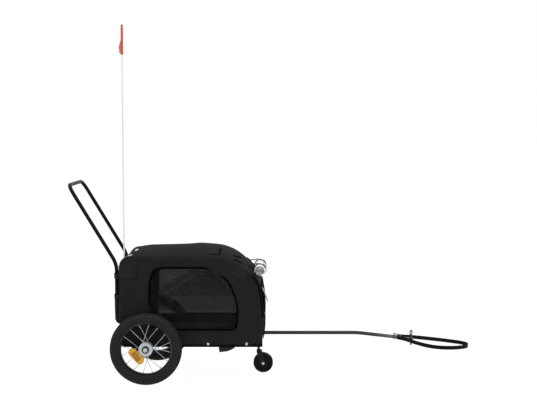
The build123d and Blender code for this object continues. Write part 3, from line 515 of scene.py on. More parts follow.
HIGHLIGHT_TAPE, tree, shader, where = finish(
    "pale tape, painted highlight", (0.5,) * 3, (0.66,) * 3, (0.25, 0.4), uv=True
)
cells = add_node(tree, "ShaderNodeTexVoronoi", Vector=where, Scale=700.0)
relief(tree, shader, (cells.outputs["Distance"], 0.1))
print("finishes so far:", len(bpy.data.materials))

# %% [markdown]
# The wheel reflectors are moulded amber with a ribbed middle, where rows of small prisms send
# light back, and smooth yellow ends. A Mapping node puts the pattern's centre at the reflector's
# middle and turns it to lie along the slot, so both wheels can share one finish.

# %% Amber reflector
low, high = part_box("right_wheel_reflector")
REFLECTOR_MIDDLE = (low + high) / 2
REFLECTOR_LEAN = math.atan2(REFLECTOR_MIDDLE.z - AXLE_Z / 1000, REFLECTOR_MIDDLE.x - AXLE_X)
PRISM_HALF_LENGTH, PRISM_HALF_HEIGHT, PRISM_PITCH = 0.021, 0.0115, 0.0013
AMBER, tree, shader, where = finish(
    "amber reflector", (0.58, 0.31, 0.018), (0.68, 0.39, 0.026), (0.2, 0.35), 60.0,
    Specular_IOR_Level=0.2, Coat_Weight=0.12,
)
centre = add_node(tree, "ShaderNodeMapping", Vector=where)
centre.vector_type = "TEXTURE"
centre.inputs["Location"].default_value = (REFLECTOR_MIDDLE.x, 0.0, REFLECTOR_MIDDLE.z)
centre.inputs["Rotation"].default_value = (0.0, math.pi / 2 - REFLECTOR_LEAN, 0.0)
along, _, high = axes(tree, centre.outputs[0])
core = maths(
    tree, "MULTIPLY",
    maths(tree, "LESS_THAN", maths(tree, "ABSOLUTE", along), PRISM_HALF_LENGTH),
    maths(tree, "LESS_THAN", maths(tree, "ABSOLUTE", high), PRISM_HALF_HEIGHT),
)
prisms = maths(tree, "MULTIPLY", maths(tree, "PINGPONG", along, PRISM_PITCH), 1 / PRISM_PITCH)
recolour(tree, shader, core, (0.42, 0.19, 0.02))
relief(tree, shader, (maths(tree, "MULTIPLY", prisms, core), 1.2))
print("reflector leans", round(math.degrees(REFLECTOR_LEAN)), "degrees from level")

# %% [markdown]
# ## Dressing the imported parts
# Tubes, wheels, hitch and caster already have the right shape, so they only get a finish. The
# soft solids are replaced further down.

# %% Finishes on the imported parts
DRESS = {
    BLACK_TUBE: "left_side_hoop right_side_hoop left_bottom_rail right_bottom_rail front_cross_tube "
    "middle_cross_tube rear_cross_tube top_rear_crossbar top_front_crossbar push_handle "
    "caster_head_tube left_handle_clamps right_handle_clamps",
    GREY_TUBE: "drawbar",
    PIN_STEEL: "hitch_pin hitch_tongue",
    STEEL: "axle_tube left_stub_axle right_stub_axle caster_bolt "
    "left_wheel_hub right_wheel_hub left_wheel_spokes right_wheel_spokes",
    SPRING_WIRE: "roof_bow",
    BLACK_PLASTIC: "drawbar_rear_bracket drawbar_front_bracket caster_hub",
    BLACK_RIM: "left_wheel_rim right_wheel_rim",
    CASTER_RUBBER: "caster_tyre",
    FORK_PAINT: "caster_fork",
    POLE_WHITE: "flag_pole",
    FLOOR_PLY: "floor_board",
    AMBER: "left_wheel_reflector right_wheel_reflector",
}
for finish_made, names in DRESS.items():
    for name in names.split():
        for slot in NODES[name].material_slots:
            slot.material = finish_made
print("dressed", sum(len(v.split()) for v in DRESS.values()), "of", len(NODES), "packed parts")

# %% [markdown]
# ## Sweeping a section along a path
# Piping, straps, hems and stitched bands are all one section carried along a path. Writing the
# sweep by hand, rather than bevelling a curve, gives each band a UV map that runs along it in
# metres, and lets a flat strap keep its flat side up.


# %% The sweep
def sweep(name, path, profile, material, up=(0, 0, 1), ring=False):
    """Carries a closed profile of (across, up) millimetres along a path of points in metres."""
    path = [Vector(p) for p in path]
    count, sides = len(path), len(profile)
    around = [0.0]
    for k, corner in enumerate(profile):
        around.append(around[-1] + math.dist(corner, profile[(k + 1) % sides]) / 1000)
    points, runs = [], [0.0]
    for i, here in enumerate(path):
        before = path[i - 1] if i or ring else here
        after = path[(i + 1) % count] if i < count - 1 or ring else here
        along = (after - before).normalized()
        across = along.cross(Vector(up(i) if callable(up) else up)).normalized()
        rise = across.cross(along)
        points += [here + across * (a / 1000) + rise * (b / 1000) for a, b in profile]
        runs.append(runs[-1] + (path[(i + 1) % count] - here).length)
    faces, uvs = [], []
    for i in range(count if ring else count - 1):
        j = (i + 1) % count
        for k in range(sides):
            m = (k + 1) % sides
            faces.append((i * sides + k, j * sides + k, j * sides + m, i * sides + m))
            near, far = (runs[i], around[k]), (runs[i + 1], around[k + 1])
            uvs += [near, (far[0], near[1]), far, (near[0], far[1])]
    if not ring:
        last = (count - 1) * sides
        faces += [tuple(range(sides)), tuple(last + k for k in reversed(range(sides)))]
        uvs += [(0.0, 0.0)] * (2 * sides)
    return make_piece(name, points, faces, material, corner_uvs=uvs)


def round_profile(width, sides=10):
    """A circle of that diameter, as a profile."""
    steps = [2 * math.pi * k / sides for k in range(sides)]
    return [(width / 2 * math.cos(a), width / 2 * math.sin(a)) for a in steps]


def band_profile(width, thick):
    """A flat strap: its selvages are thinner than its middle."""
    w, t, edge = width / 2, thick / 2, min(1.2, width / 6)
    lower = [(-w, -t * 0.45), (-w + edge, -t), (0, -t), (w - edge, -t), (w, -t * 0.45)]
    return lower + [(-x, -z) for x, z in lower]


def on_edge(width, thick):
    """A flat strap turned to stand on its edge."""
    return [(b, -a) for a, b in band_profile(width, thick)]


# %% [markdown]
# ## The safety strap
# A loop of limp webbing goes round the bicycle's chainstay if the hitch ever fails. It leaves the
# end of the drawbar, runs out in a long loop and comes back to the bar. Its line is a smooth
# spline over a few given points, level apart from the slight fall away from the hitch, and
# the strap stands on edge along it.

# %% Safety strap
BAR_TURN = math.radians(31)
BAR_HEADING = Vector((math.cos(BAR_TURN), -math.sin(BAR_TURN), 0))
STRAP_FALL = math.radians(3.6)
BAR_END = (1112, 62.04, 142)
STRAP_POINTS = [(-14, -7.8), (12, -26), (53, -104), (105, -164), (160, -177), (218, -160), (271, -122)]
STRAP_POINTS += [(292, -76), (272, -36), (212, -9), (138, 12), (75, 27), (38, 29), (0.8, 16.6)]


def spline_points(name, points):
    """The points of a smooth spline over control points given in metres."""
    line = bpy.data.curves.new(name, "CURVE")
    line.dimensions = "3D"
    route = line.splines.new("NURBS")
    route.points.add(len(points) - 1)
    for knot, place_of in zip(route.points, points):
        knot.co = (*place_of, 1.0)
    route.order_u = 3
    route.use_endpoint_u = True
    route.resolution_u = 10
    holder = add_object(name, line)
    bpy.context.view_layer.update()
    mesh = bpy.data.meshes.new_from_object(holder.evaluated_get(bpy.context.evaluated_depsgraph_get()))
    found = [v.co.copy() for v in mesh.vertices]
    bpy.data.objects.remove(holder, do_unlink=True)
    return found


def fit(piece, node, body="trailer"):
    """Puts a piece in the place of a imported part, on a body."""
    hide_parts(node)
    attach(piece, body)


strap_route = [
    place(
        BAR_END[0] + x * math.cos(STRAP_FALL),
        BAR_END[1] + y,
        BAR_END[2] - x * math.sin(STRAP_FALL),
    )
    for x, y in STRAP_POINTS
]
strap_line = spline_points("safety_strap_route", strap_route)
strap_up = (math.sin(STRAP_FALL), 0, math.cos(STRAP_FALL))
safety_strap = sweep(
    "safety_strap_band", strap_line, on_edge(17, 2.2), SAFETY_WEBBING, up=strap_up
)
fit(safety_strap, "safety_strap")
print("safety strap points:", len(strap_line))

# %% [markdown]
# ## Light, floor and background
# The plain level comes from an even world, and a large soft lamp overhead makes the roof lighter
# than the sides, as in a studio with a lit ceiling. Camera, glossy and transmission rays see a
# white world instead of the one that lights the trailer, so the background is white without any
# extra light on the object. What is seen through netting is dimmed, so that the cabin reads dark.
# The floor is white in the same way and still takes a faint shadow.

# %% Light and floor
WORLD_LEVEL = 0.62
BEHIND_NET = 0.07
OVERHEAD_WATTS = 156
FLOOR_HALF = 40


def seen_directly(tree):
    """1 for camera, glossy and transmission rays, which see the white background, and a dimmer."""
    rays = tree.nodes.new("ShaderNodeLightPath")
    seen = maths(tree, "MAXIMUM", rays.outputs["Is Camera Ray"], rays.outputs["Is Glossy Ray"])
    seen = maths(tree, "MAXIMUM", seen, rays.outputs["Is Transmission Ray"])
    through = maths(
        tree, "MINIMUM", rays.outputs["Transparent Depth"], rays.outputs["Is Camera Ray"]
    )
    return seen, between(tree, through, 1.0, BEHIND_NET)


world = bpy.data.worlds.new("studio")
bpy.context.scene.world = world
world.use_nodes = True
tree = world.node_tree
background = tree.nodes["Background"]
background.inputs["Color"].default_value = (1, 1, 1, 1)
seen, dimmer = seen_directly(tree)
level = between(tree, seen, WORLD_LEVEL, 1.0)
tree.links.new(maths(tree, "MULTIPLY", level, dimmer), background.inputs["Strength"])

lamp = bpy.data.lights.new("overhead", "AREA")
lamp.shape = "RECTANGLE"
lamp.size, lamp.size_y = 4.5, 4.5
lamp.energy = OVERHEAD_WATTS
overhead = add_object("overhead", lamp)
overhead.location = (0.1, 0.0, 3.4)

floor_white = bpy.data.materials.new("studio floor")
floor_white.use_nodes = True
tree = floor_white.node_tree
tree.nodes.remove(tree.nodes["Principled BSDF"])
matt = add_node(tree, "ShaderNodeBsdfDiffuse", Color=(0.9, 0.9, 0.9, 1))
seen, dimmer = seen_directly(tree)
glow = add_node(tree, "ShaderNodeEmission", Strength=maths(tree, "MULTIPLY", dimmer, 1.05))
both = tree.nodes.new("ShaderNodeMixShader")
for slot, value in enumerate((maths(tree, "MULTIPLY", seen, 0.93), matt.outputs[0], glow.outputs[0])):
    tree.links.new(value, both.inputs[slot])
tree.links.new(both.outputs[0], tree.nodes["Material Output"].inputs["Surface"])
floor_corners = [(FLOOR_HALF * a, FLOOR_HALF * b, 0) for a, b in ((-1, -1), (1, -1), (1, 1), (-1, 1))]
floor = make_piece("studio_floor", floor_corners, [(0, 1, 2, 3)], floor_white)
print("world", WORLD_LEVEL, "overhead lamp", lamp.energy, "W")

# %% [markdown]
# ## The cabin's skin
# Seen from the side, the cabin is one line: up the back, over the roof and down the curved front.
# Its cloth is a single piece pulled over two side hoops, so it is made as one surface too: a
# section across the trailer is carried along that line. The section goes up the outside of one
# hoop, round its tube, over the crown of the roof and down the other side. Rear wall, roof and
# front are then three stretches of one skin, and meet exactly.


# %% The line of the cabin, seen from the side
def rounded(corners, radii, closed=False, step=4.0):
    """The points of straight lines with rounded corners, evenly spaced, as (a, b) pairs."""
    corners, line = [Vector(c) for c in corners], []
    for i, corner in enumerate(corners):
        if radii[i] == 0 or (not closed and i in (0, len(corners) - 1)):
            line.append(corner)
            continue
        back = (corners[i - 1] - corner).normalized()
        onward = (corners[(i + 1) % len(corners)] - corner).normalized()
        half = back.angle(onward) / 2
        centre = corner + (back + onward).normalized() * radii[i] / math.sin(half)
        first = corner + back * radii[i] / math.tan(half) - centre
        turn = math.pi - 2 * half
        if back.x * onward.y - back.y * onward.x > 0:
            turn = -turn
        parts = max(3, round(abs(turn) * radii[i] / step))
        for k in range(parts + 1):
            line.append(centre + Matrix.Rotation(turn * k / parts, 2) @ first)
    spaced = []
    for i, here in enumerate(line[: None if closed else -1]):
        there = line[(i + 1) % len(line)]
        parts = max(1, round((there - here).length / step))
        spaced += [here.lerp(there, k / parts) for k in range(parts)]
    return spaced if closed else spaced + [line[-1]]


CABIN_CORNERS = [(-118, 153.5), (-118, 541), (342, 541), (478, 441), (505, 290), (488.5, 153.5)]
cabin_line = np.array([tuple(p) for p in rounded(CABIN_CORNERS, [0, 45, 150, 100, 550, 0], step=2.0)])
steps = np.linalg.norm(np.diff(cabin_line, axis=0), axis=1)
LINE_S = np.concatenate([[0], np.cumsum(steps)]) - 342.5
LINE_SLOPE = np.gradient(cabin_line, LINE_S, axis=0)
REAR_FOOT, ROOF_START, ROOF_END, TOE = LINE_S[0], 0.0, 619.0, LINE_S[-1]


def side_view(s, out=0.0):
    """(x, z) on the cabin's line at s millimetres along it, moved outwards."""
    x, z = (float(np.interp(s, LINE_S, cabin_line[:, k])) for k in (0, 1))
    slope = Vector([float(np.interp(s, LINE_S, LINE_SLOPE[:, k])) for k in (0, 1)]).normalized()
    return x - slope.y * out, z + slope.x * out


def s_at_height(z):
    """Where along the line the front comes down to a height."""
    front = LINE_S > 450
    return float(np.interp(-z, -cabin_line[front, 1], LINE_S[front]))


print("cabin line", round(TOE - REAR_FOOT), "mm long; roof ends at s =", ROOF_END)

# %% [markdown]
# The crown is how far the middle of the cloth stands above the two hoops. A sprung wire bow near
# the middle holds it highest there. The numbers along the line give that height, and a little
# noise, strongest where nothing supports the cloth, gives it the shallow hollows of real canvas.

# %% The skin
CROWN_S = [-400, 0, 40, 59, 78, 94, 139, 183, 271, 315, 350]
CROWN = [0, 0, -6, -3, 9, 17, 25, 26, 28, 31, 35]
CROWN_S += [372, 403, 447, 484, 525, 555, 583, 602, 625, 660, 1000]
CROWN += [34.5, 31, 26, 21, 20, 19, 15, 9, 4, 1, 0]
HOOP_Y, HOOP_IN, WRAP = 188.7, 11.5, 11.0
SHOULDER = [(HOOP_Y + WRAP, -26.0), (HOOP_Y + WRAP, -18.5), (HOOP_Y + WRAP, -HOOP_IN)]
SHOULDER += [
    (HOOP_Y + WRAP * math.cos(a), -HOOP_IN + WRAP * math.sin(a)) for a in (0.3, 0.6, 0.9, 1.2)
]
CROWN_Y = [184.0, 176.0, 164.0, 150.0, 132.0, 112.0, 90.0, 68.0, 46.0, 23.0, 0.0]


def hollow(s, y, size=1.0):
    """Shallow hollows in stretched cloth, fading out at the hoops."""
    free = max(0.0, 1 - (y / 186) ** 6)
    slow = noise.noise(Vector((s / 95, y / 70, 3.1)))
    folds = noise.noise(Vector((s / 34, y / 120, 9.7)))
    return free * (size * slow * 1.6 + size * folds * 0.7)


def off_line(s, y, out):
    """A point y millimetres across the trailer and out from the cabin's line at s."""
    x, z = side_view(s, out)
    return place(x, y, z)


def on_skin(s, y, lift=0.0):
    """The point of the skin at s along the line and y across, lifted outwards."""
    rise = float(np.interp(s, CROWN_S, CROWN)) * (1 - (y / 188) ** 2)
    return off_line(s, y, -0.5 + lift + rise + hollow(s, y))


def skin_row(s):
    """Points across the skin at s, from the left side to the right."""
    crown = [on_skin(s, y) for y in CROWN_Y + [-y for y in reversed(CROWN_Y[:-1])]]
    right = [off_line(s, -y, out) for y, out in reversed(SHOULDER)]
    return [off_line(s, y, out) for y, out in SHOULDER] + crown + right

# %% [markdown]
# The roof, the back wall and the front are cut from the same surface. A piece is a grid of points:
# one row across the trailer for each station along the line. Some faces may take a second copy of
# the cloth in another tone: the roof's edges keep the side's tone, and the rest of the roof is the darker
# copy, painted shade.


# %% Roof and rear canvas
def skin_piece(name, stations, material, keep=None, other=None, where=None):
    """A stretch of the skin over the given stations; where picks the faces of the other cloth."""
    rows = [skin_row(s) for s in stations]
    width = len(rows[0])
    middle = rows[len(rows) // 2]
    across = [0.0]
    for a, b in zip(middle, middle[1:]):
        across.append(across[-1] + (b - a).length)
    uvs = [(s / 1000, v) for s in stations for v in across]
    points = [p for row in rows for p in row]
    piece = make_piece(name, points, grid_faces(len(rows), width, keep), material, uvs)
    if other:
        piece.data.materials.append(other)
        for face in piece.data.polygons:
            r, c = divmod(min(face.vertices), width)
            face.material_index = int(where(stations[r], min(c, width - 2 - c)))
    return thicken(piece, 1.4)


def spread(low, high, step):
    """Evenly spaced values from low to high, about a step apart."""
    return [float(v) for v in np.linspace(low, high, max(2, round(abs(high - low) / step) + 1))]


def stops_between(marks, steps):
    """Evenly spaced values through a list of marks, with a step for each stretch."""
    values = [marks[0]]
    for low, high, step in zip(marks, marks[1:], steps):
        values += spread(low, high, step)[1:]
    return values


# Painted shade: the roof takes the darker copy of the canvas, and its outer columns the side's.
roof = skin_piece(
    "roof_canvas", spread(ROOF_START, ROOF_END, 11), ROOF_CLOTH_SHADED, other=BODY_CLOTH, where=lambda s, c: c < 4
)
fit(roof, "roof_panel")

rear = skin_piece("rear_canvas", spread(REAR_FOOT, ROOF_START, 12), BODY_CLOTH)
fit(rear, "rear_panel")
print("roof and rear canvas:", len(roof.data.polygons), "+", len(rear.data.polygons), "faces")

# %% [markdown]
# The front is the same skin with the doorway cut out of it. The rows and columns of its grid run
# through the doorway's edges, so the cut is clean, and a bound edge hides the raw cloth.

# %% Front canvas with its doorway
DOOR_HALF, DOOR_SILL, DOOR_HEAD = 150.0, 195.0, 396.0
# Between these heights the front's two side edges take the near-black cloth: painted shade where the front
# turns away from the side.
SHADED_HEAD, SHADED_FOOT = 466, 288
head_s, sill_s = s_at_height(DOOR_HEAD), s_at_height(DOOR_SILL)
front_stations = stops_between((ROOF_END, head_s, sill_s, TOE), (10, 12, 12))
front_columns = len(SHOULDER) * 2 + len(CROWN_Y) * 2 - 1
door_columns = range(len(SHOULDER) + 3, front_columns - len(SHOULDER) - 4)


def around_doorway(r, c):
    """Keeps the faces of the front that aren't in the doorway."""
    inside = head_s - 0.1 <= front_stations[r] < sill_s - 0.1
    return not (inside and c in door_columns)


shaded_s = (s_at_height(SHADED_HEAD), s_at_height(SHADED_FOOT))
front = skin_piece(
    "front_canvas", front_stations, BODY_CLOTH, keep=around_doorway, other=PAINTED_SHADE_CLOTH,
    where=lambda s, c: shaded_s[0] <= s < shaded_s[1] and 2 <= c < 11,
)
fit(front, "front_panel")
print("front canvas:", len(front_stations), "rows, doorway columns", door_columns[0], "to", door_columns[-1])

# %% [markdown]
# ## Sides and windows
# Each side is cut from flat canvas with a large window. A flat panel with a hole is easiest as a
# constrained triangulation: the outline and the window are its fixed edges, and a loose grid of
# points between them lets the cloth be pushed in and out into shallow folds.


# %% Side cloth and window netting
def inside(point, loop):
    """Whether a point lies inside a closed loop of points."""
    x, z = point
    hit = False
    for (ax, az), (bx, bz) in zip(loop, loop[1:] + loop[:1]):
        if (az > z) != (bz > z) and x < (bx - ax) * (z - az) / (bz - az) + ax:
            hit = not hit
    return hit


def to_loop(point, loop):
    """The distance from a point to a closed loop."""
    return min((Vector(point) - Vector(q)).length for q in loop)


def flat_cut(outline, holes=(), grid=13.0):
    """Triangles over a flat shape with holes. Returns its points and faces."""
    loops = [outline, *holes]
    points, edges = [], []
    for loop in loops:
        start = len(points)
        points += [Vector(p) for p in loop]
        edges += [(start + k, start + (k + 1) % len(loop)) for k in range(len(loop))]
    low = [min(p[k] for p in outline) for k in (0, 1)]
    high = [max(p[k] for p in outline) for k in (0, 1)]
    row = 0
    z = low[1] + grid / 2
    while z < high[1]:
        x = low[0] + grid / 2 * (1 + row % 2)
        while x < high[0]:
            if inside((x, z), outline) and not any(inside((x, z), h) for h in holes):
                if min(to_loop((x, z), loop) for loop in loops) > grid * 0.55:
                    points.append(Vector((x, z)))
            x += grid
        z += grid * 0.87
        row += 1
    cut = mathutils.geometry.delaunay_2d_cdt(points, edges, [], 0, 1e-4)
    faces = []
    for face in cut[2]:
        middle = sum((cut[0][k] for k in face), Vector((0, 0))) / len(face)
        if inside(middle, outline) and not any(inside(middle, h) for h in holes):
            faces.append(tuple(face))
    return [tuple(p) for p in cut[0]], faces

# %% [markdown]
# The window's outline is a few corners with their own radii. The netting is cut a little larger than
# the window and lies behind the canvas, as it would be sewn.

# %% The two sides
WINDOW_CORNERS = [(10, 229), (14.5, 428), (29, 479), (62, 490.5)]
WINDOW_CORNERS += [(266, 490.5), (345, 442), (385, 335.5), (381, 229)]
WINDOW_RADII = [6, 60, 24, 40, 130, 115, 180, 22]
WINDOW = [tuple(p) for p in rounded(WINDOW_CORNERS, WINDOW_RADII, closed=True, step=7.0)]


def window_grown(k, out):
    """The window's k-th point, moved outwards from its edge."""
    before, after = Vector(WINDOW[k - 1]), Vector(WINDOW[(k + 1) % len(WINDOW)])
    run = (after - before).normalized()
    return WINDOW[k][0] - run.y * out, WINDOW[k][1] + run.x * out


SIDE_CUT = [side_view(s, -24.5) for s in spread(REAR_FOOT, TOE, 9)]


def side_fold(x, z):
    """How far the side cloth stands in or out of flat: slow hollows, and folds from the corners."""
    slow = noise.noise(Vector((x / 90, z / 80, 5.5)))
    corner = math.exp(-((x + 40) ** 2 + (z - 300) ** 2) / 9000)
    return 0.9 * slow + 0.6 * corner * math.sin((x + z) / 14)


def side_sheet(name, cut, level, side, material, fold, thickness, levels=1):
    """A flat cut stood upright at a distance from the centre line, pushed in and out by fold."""
    flat, faces = cut
    points = [place(x, side * (level + fold(x, z)), z) for x, z in flat]
    if side > 0:
        faces = [tuple(reversed(f)) for f in faces]
    uvs = [(x / 1000, z / 1000) for x, z in flat]
    return thicken(make_piece(name, points, faces, material, uvs), thickness, levels=levels)


side_cut = flat_cut(SIDE_CUT, [WINDOW])
net_cut = flat_cut([window_grown(k, 7) for k in range(len(WINDOW))], grid=16.0)


def net_fold(x, z):
    """The netting is slacker than the canvas and hangs a little inwards."""
    return -1.6 * max(0.0, 1 - ((x - 200) / 190) ** 2) * max(0.0, 1 - ((z - 360) / 135) ** 2)


SIDE_CLOTH_Y, SIDE_NET_Y = 199.3, 197.4
for side_name, side in SIDES.items():
    cloth = side_sheet(f"{side_name}_side_canvas", side_cut, SIDE_CLOTH_Y, side, BODY_CLOTH, side_fold, 1.3)
    fit(cloth, f"{side_name}_side_panel")
    net = side_sheet(f"{side_name}_window_net", net_cut, SIDE_NET_Y, side, NETTING, net_fold, 0.5, levels=0)
    fit(net, f"{side_name}_window_mesh")
print("side cut:", len(side_cut[1]), "triangles; netting:", len(net_cut[1]))

# %% [markdown]
# ## Small repeated things
# Two node trees make everything that repeats. One lays copies along a curve, for stitches and zip
# teeth. The other lays copies round an axle, for tread blocks and spoke nipples.
# Both take their sizes as named inputs and end by turning the copies into one real mesh.


# %% Copies along a curve, and copies round an axle
def node_tree(name, inputs):
    """A geometry node tree with a geometry in and out and named number inputs."""
    tree = bpy.data.node_groups.new(name, "GeometryNodeTree")
    tree.interface.new_socket("Geometry", in_out="INPUT", socket_type="NodeSocketGeometry")
    for label, kind, default in inputs:
        tree.interface.new_socket(label, in_out="INPUT", socket_type=kind).default_value = default
    tree.interface.new_socket("Material", in_out="INPUT", socket_type="NodeSocketMaterial")
    tree.interface.new_socket("Geometry", in_out="OUTPUT", socket_type="NodeSocketGeometry")
    return tree, tree.nodes.new("NodeGroupInput"), tree.nodes.new("NodeGroupOutput")


def finish_tree(tree, given, out, geometry):
    """Realize Instances, shade smooth and Set Material at the end of a tree."""
    real = add_node(tree, "GeometryNodeRealizeInstances", Geometry=geometry)
    coat = add_node(
        tree, "GeometryNodeSetMaterial", Geometry=real.outputs[0], Material=given.outputs["Material"]
    )
    tree.links.new(coat.outputs[0], out.inputs[0])

# %% [markdown]
# A stitch is a small stretched sphere, laid at an even pitch along a curve and turned to follow it.
# Copies round an axle are turned by their index, so that one mesh gives a whole ring.


# %% The two trees
def stitch_tree():
    """Small rounded grains laid end to end along curves: a run of thread or zip teeth."""
    tree, given, out = node_tree(
        "grains along a curve",
        [
            ("Pitch", "NodeSocketFloat", 0.004),
            ("Length", "NodeSocketFloat", 0.0028),
            ("Width", "NodeSocketFloat", 0.0008),
        ],
    )
    along, pitch, length, width = (given.outputs[k] for k in ("Geometry", "Pitch", "Length", "Width"))
    step = add_node(tree, "GeometryNodeCurveToPoints", Curve=along)
    step.mode = "LENGTH"
    feed(tree, step.inputs["Length"], pitch)
    grain = add_node(tree, "GeometryNodeMeshUVSphere", Segments=6, Rings=4, Radius=0.5)
    size = add_node(tree, "ShaderNodeCombineXYZ", X=width, Y=width, Z=length)
    lay = add_node(
        tree, "GeometryNodeInstanceOnPoints", Points=step.outputs["Points"],
        Rotation=step.outputs["Rotation"], Instance=grain.outputs["Mesh"], Scale=size.outputs[0],
    )
    finish_tree(tree, given, out, lay.outputs[0])
    return tree


def axle_tree():
    """Copies of a mesh turned round the Y axis of its own origin, then moved to an axle."""
    tree, given, out = node_tree(
        "copies round an axle",
        [
            ("Count", "NodeSocketInt", 12),
            ("Start turn", "NodeSocketFloat", 0.0),
            ("Axle", "NodeSocketVector", (0, 0, 0)),
        ],
    )
    count = given.outputs["Count"]
    row = add_node(tree, "GeometryNodePoints", Count=count)
    index = tree.nodes.new("GeometryNodeInputIndex")
    share = maths(tree, "DIVIDE", index.outputs[0], count)
    turn = maths(tree, "MULTIPLY_ADD", share, 2 * math.pi, given.outputs["Start turn"])
    rotation = add_node(tree, "ShaderNodeCombineXYZ", Y=turn)
    lay = add_node(
        tree, "GeometryNodeInstanceOnPoints", Points=row.outputs[0],
        Instance=given.outputs["Geometry"], Rotation=rotation.outputs[0],
    )
    move = add_node(
        tree, "GeometryNodeTransform", Geometry=lay.outputs[0], Translation=given.outputs["Axle"]
    )
    finish_tree(tree, given, out, move.outputs[0])
    return tree


STITCH_TREE, AXLE_TREE = stitch_tree(), axle_tree()

# %% [markdown]
# A tree's inputs are set by the identifier of their socket before the object is first evaluated.
# The result is kept as a plain mesh and the modifier goes with its source.


# %% Growing pieces with the trees
def grow(source, tree, name, material, **values):
    """Runs a node tree on an object with named inputs, and keeps the result as a plain mesh."""
    growth = source.modifiers.new("growth", "NODES")
    growth.node_group = tree
    sockets = {s.name: s.identifier for s in tree.interface.items_tree if s.in_out == "INPUT"}
    for label, value in {**values, "Material": material}.items():
        growth[sockets[label.replace("_", " ")]] = value
    return plain_mesh(source, name, material)


def curve_through(name, runs):
    """A plain curve of straight runs through points in metres; runs is a list of point lists."""
    line = bpy.data.curves.new(name, "CURVE")
    line.dimensions = "3D"
    for points in runs:
        run = line.splines.new("POLY")
        run.points.add(len(points) - 1)
        for knot, point in zip(run.points, points):
            knot.co = (*point, 1.0)
    return add_object(name, line)


def stitches(name, runs, body, material, pitch=4.2, length=3.0, width=0.7):
    """Rows of thread along runs of points; every number is in millimetres."""
    piece = grow(
        curve_through(name + "_line", runs), STITCH_TREE, name, material,
        Pitch=pitch / 1000, Length=length / 1000, Width=width / 1000,
    )
    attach(piece, body)
    return piece


print("trees:", STITCH_TREE.name, "|", AXLE_TREE.name)

# %% [markdown]
# ## Turned parts
# Tyres, studs, seals and knobs are all round, so they are one profile turned about an axis.


# %% The lathe
def face_out(piece):
    """Points the faces of a closed piece outwards."""
    build = bmesh.new()
    build.from_mesh(piece.data)
    bmesh.ops.recalc_face_normals(build, faces=build.faces)
    build.to_mesh(piece.data)
    build.free()
    return piece


def lathe(name, profile, centre, axis, material, segments=32, closed=True):
    """Turns (radius, along) millimetres about an axis through a centre in metres."""
    axis = Vector(axis).normalized()
    across = axis.orthogonal().normalized()
    other = axis.cross(across)
    points, ring_of = [], []
    for radius, along in profile:
        if radius < 1e-6:
            ring_of.append([len(points)] * segments)
            points.append(Vector(centre) + axis * (along / 1000))
            continue
        ring_of.append(list(range(len(points), len(points) + segments)))
        for k in range(segments):
            turn = 2 * math.pi * k / segments
            out = across * math.cos(turn) + other * math.sin(turn)
            points.append(Vector(centre) + out * (radius / 1000) + axis * (along / 1000))
    faces = []
    pairs = list(zip(ring_of, ring_of[1:] + ring_of[:1])) if closed else list(zip(ring_of, ring_of[1:]))
    for low_ring, high_ring in pairs:
        for k in range(segments):
            m = (k + 1) % segments
            face = dict.fromkeys((low_ring[k], low_ring[m], high_ring[m], high_ring[k]))
            if len(face) > 2:
                faces.append(tuple(face))
    return face_out(make_piece(name, points, faces, material))


# %% [markdown]
# ## Wheels
# A tyre is a rounded carcass with sidewall ribs and two rows of tread blocks. The carcass is
# turned on the lathe and the blocks are copies of one small mesh laid round the axle. Each hub
# gets a black dust seal round its silver nut, each spoke its nipple, and each rim a valve.

# %% Tyres with tread
TYRE_PROFILE = [
    (117.5, 8.0), (114.2, 14.5), (115.0, 18.4), (117.6, 20.3), (119.2, 20.2), (120.6, 21.2),
    (126.0, 22.2), (132.5, 22.5), (138.5, 21.8), (139.4, 22.2), (140.3, 21.3), (144.8, 18.6),
    (148.4, 14.2), (150.3, 8.6), (150.9, 0.0),
]
TYRE_PROFILE = TYRE_PROFILE + [(r, -a) for r, a in reversed(TYRE_PROFILE[:-1])]


def tread_block(low, high, centre, skew, half_turn):
    """One tread block as a closed mesh on its own origin, standing on the top of the tyre."""
    corners = []
    for radius, shrink in ((149.6, 0.0), (152.4, 0.12)):
        for along, turn in ((low, -1), (high, -1), (high, 1), (low, 1)):
            y = centre + (along - centre) * (1 - shrink)
            drop = 0.0062 * y ** 2
            angle = turn * half_turn * (1 - shrink) + skew * (y - centre)
            r = (radius - drop) / 1000
            corners.append((r * math.sin(angle), y / 1000, r * math.cos(angle)))
    faces = [(0, 1, 2, 3), (4, 7, 6, 5), (0, 4, 5, 1), (1, 5, 6, 2), (2, 6, 7, 3), (3, 7, 4, 0)]
    return corners, faces


def block_ring(name, block, count, axle, material, start_turn):
    """Copies of one block all the way round an axle."""
    seed = make_piece(name + "_block", *block, material, smooth=False)
    face_out(seed)
    return grow(seed, AXLE_TREE, name, material, Count=count, Start_turn=start_turn, Axle=tuple(axle))


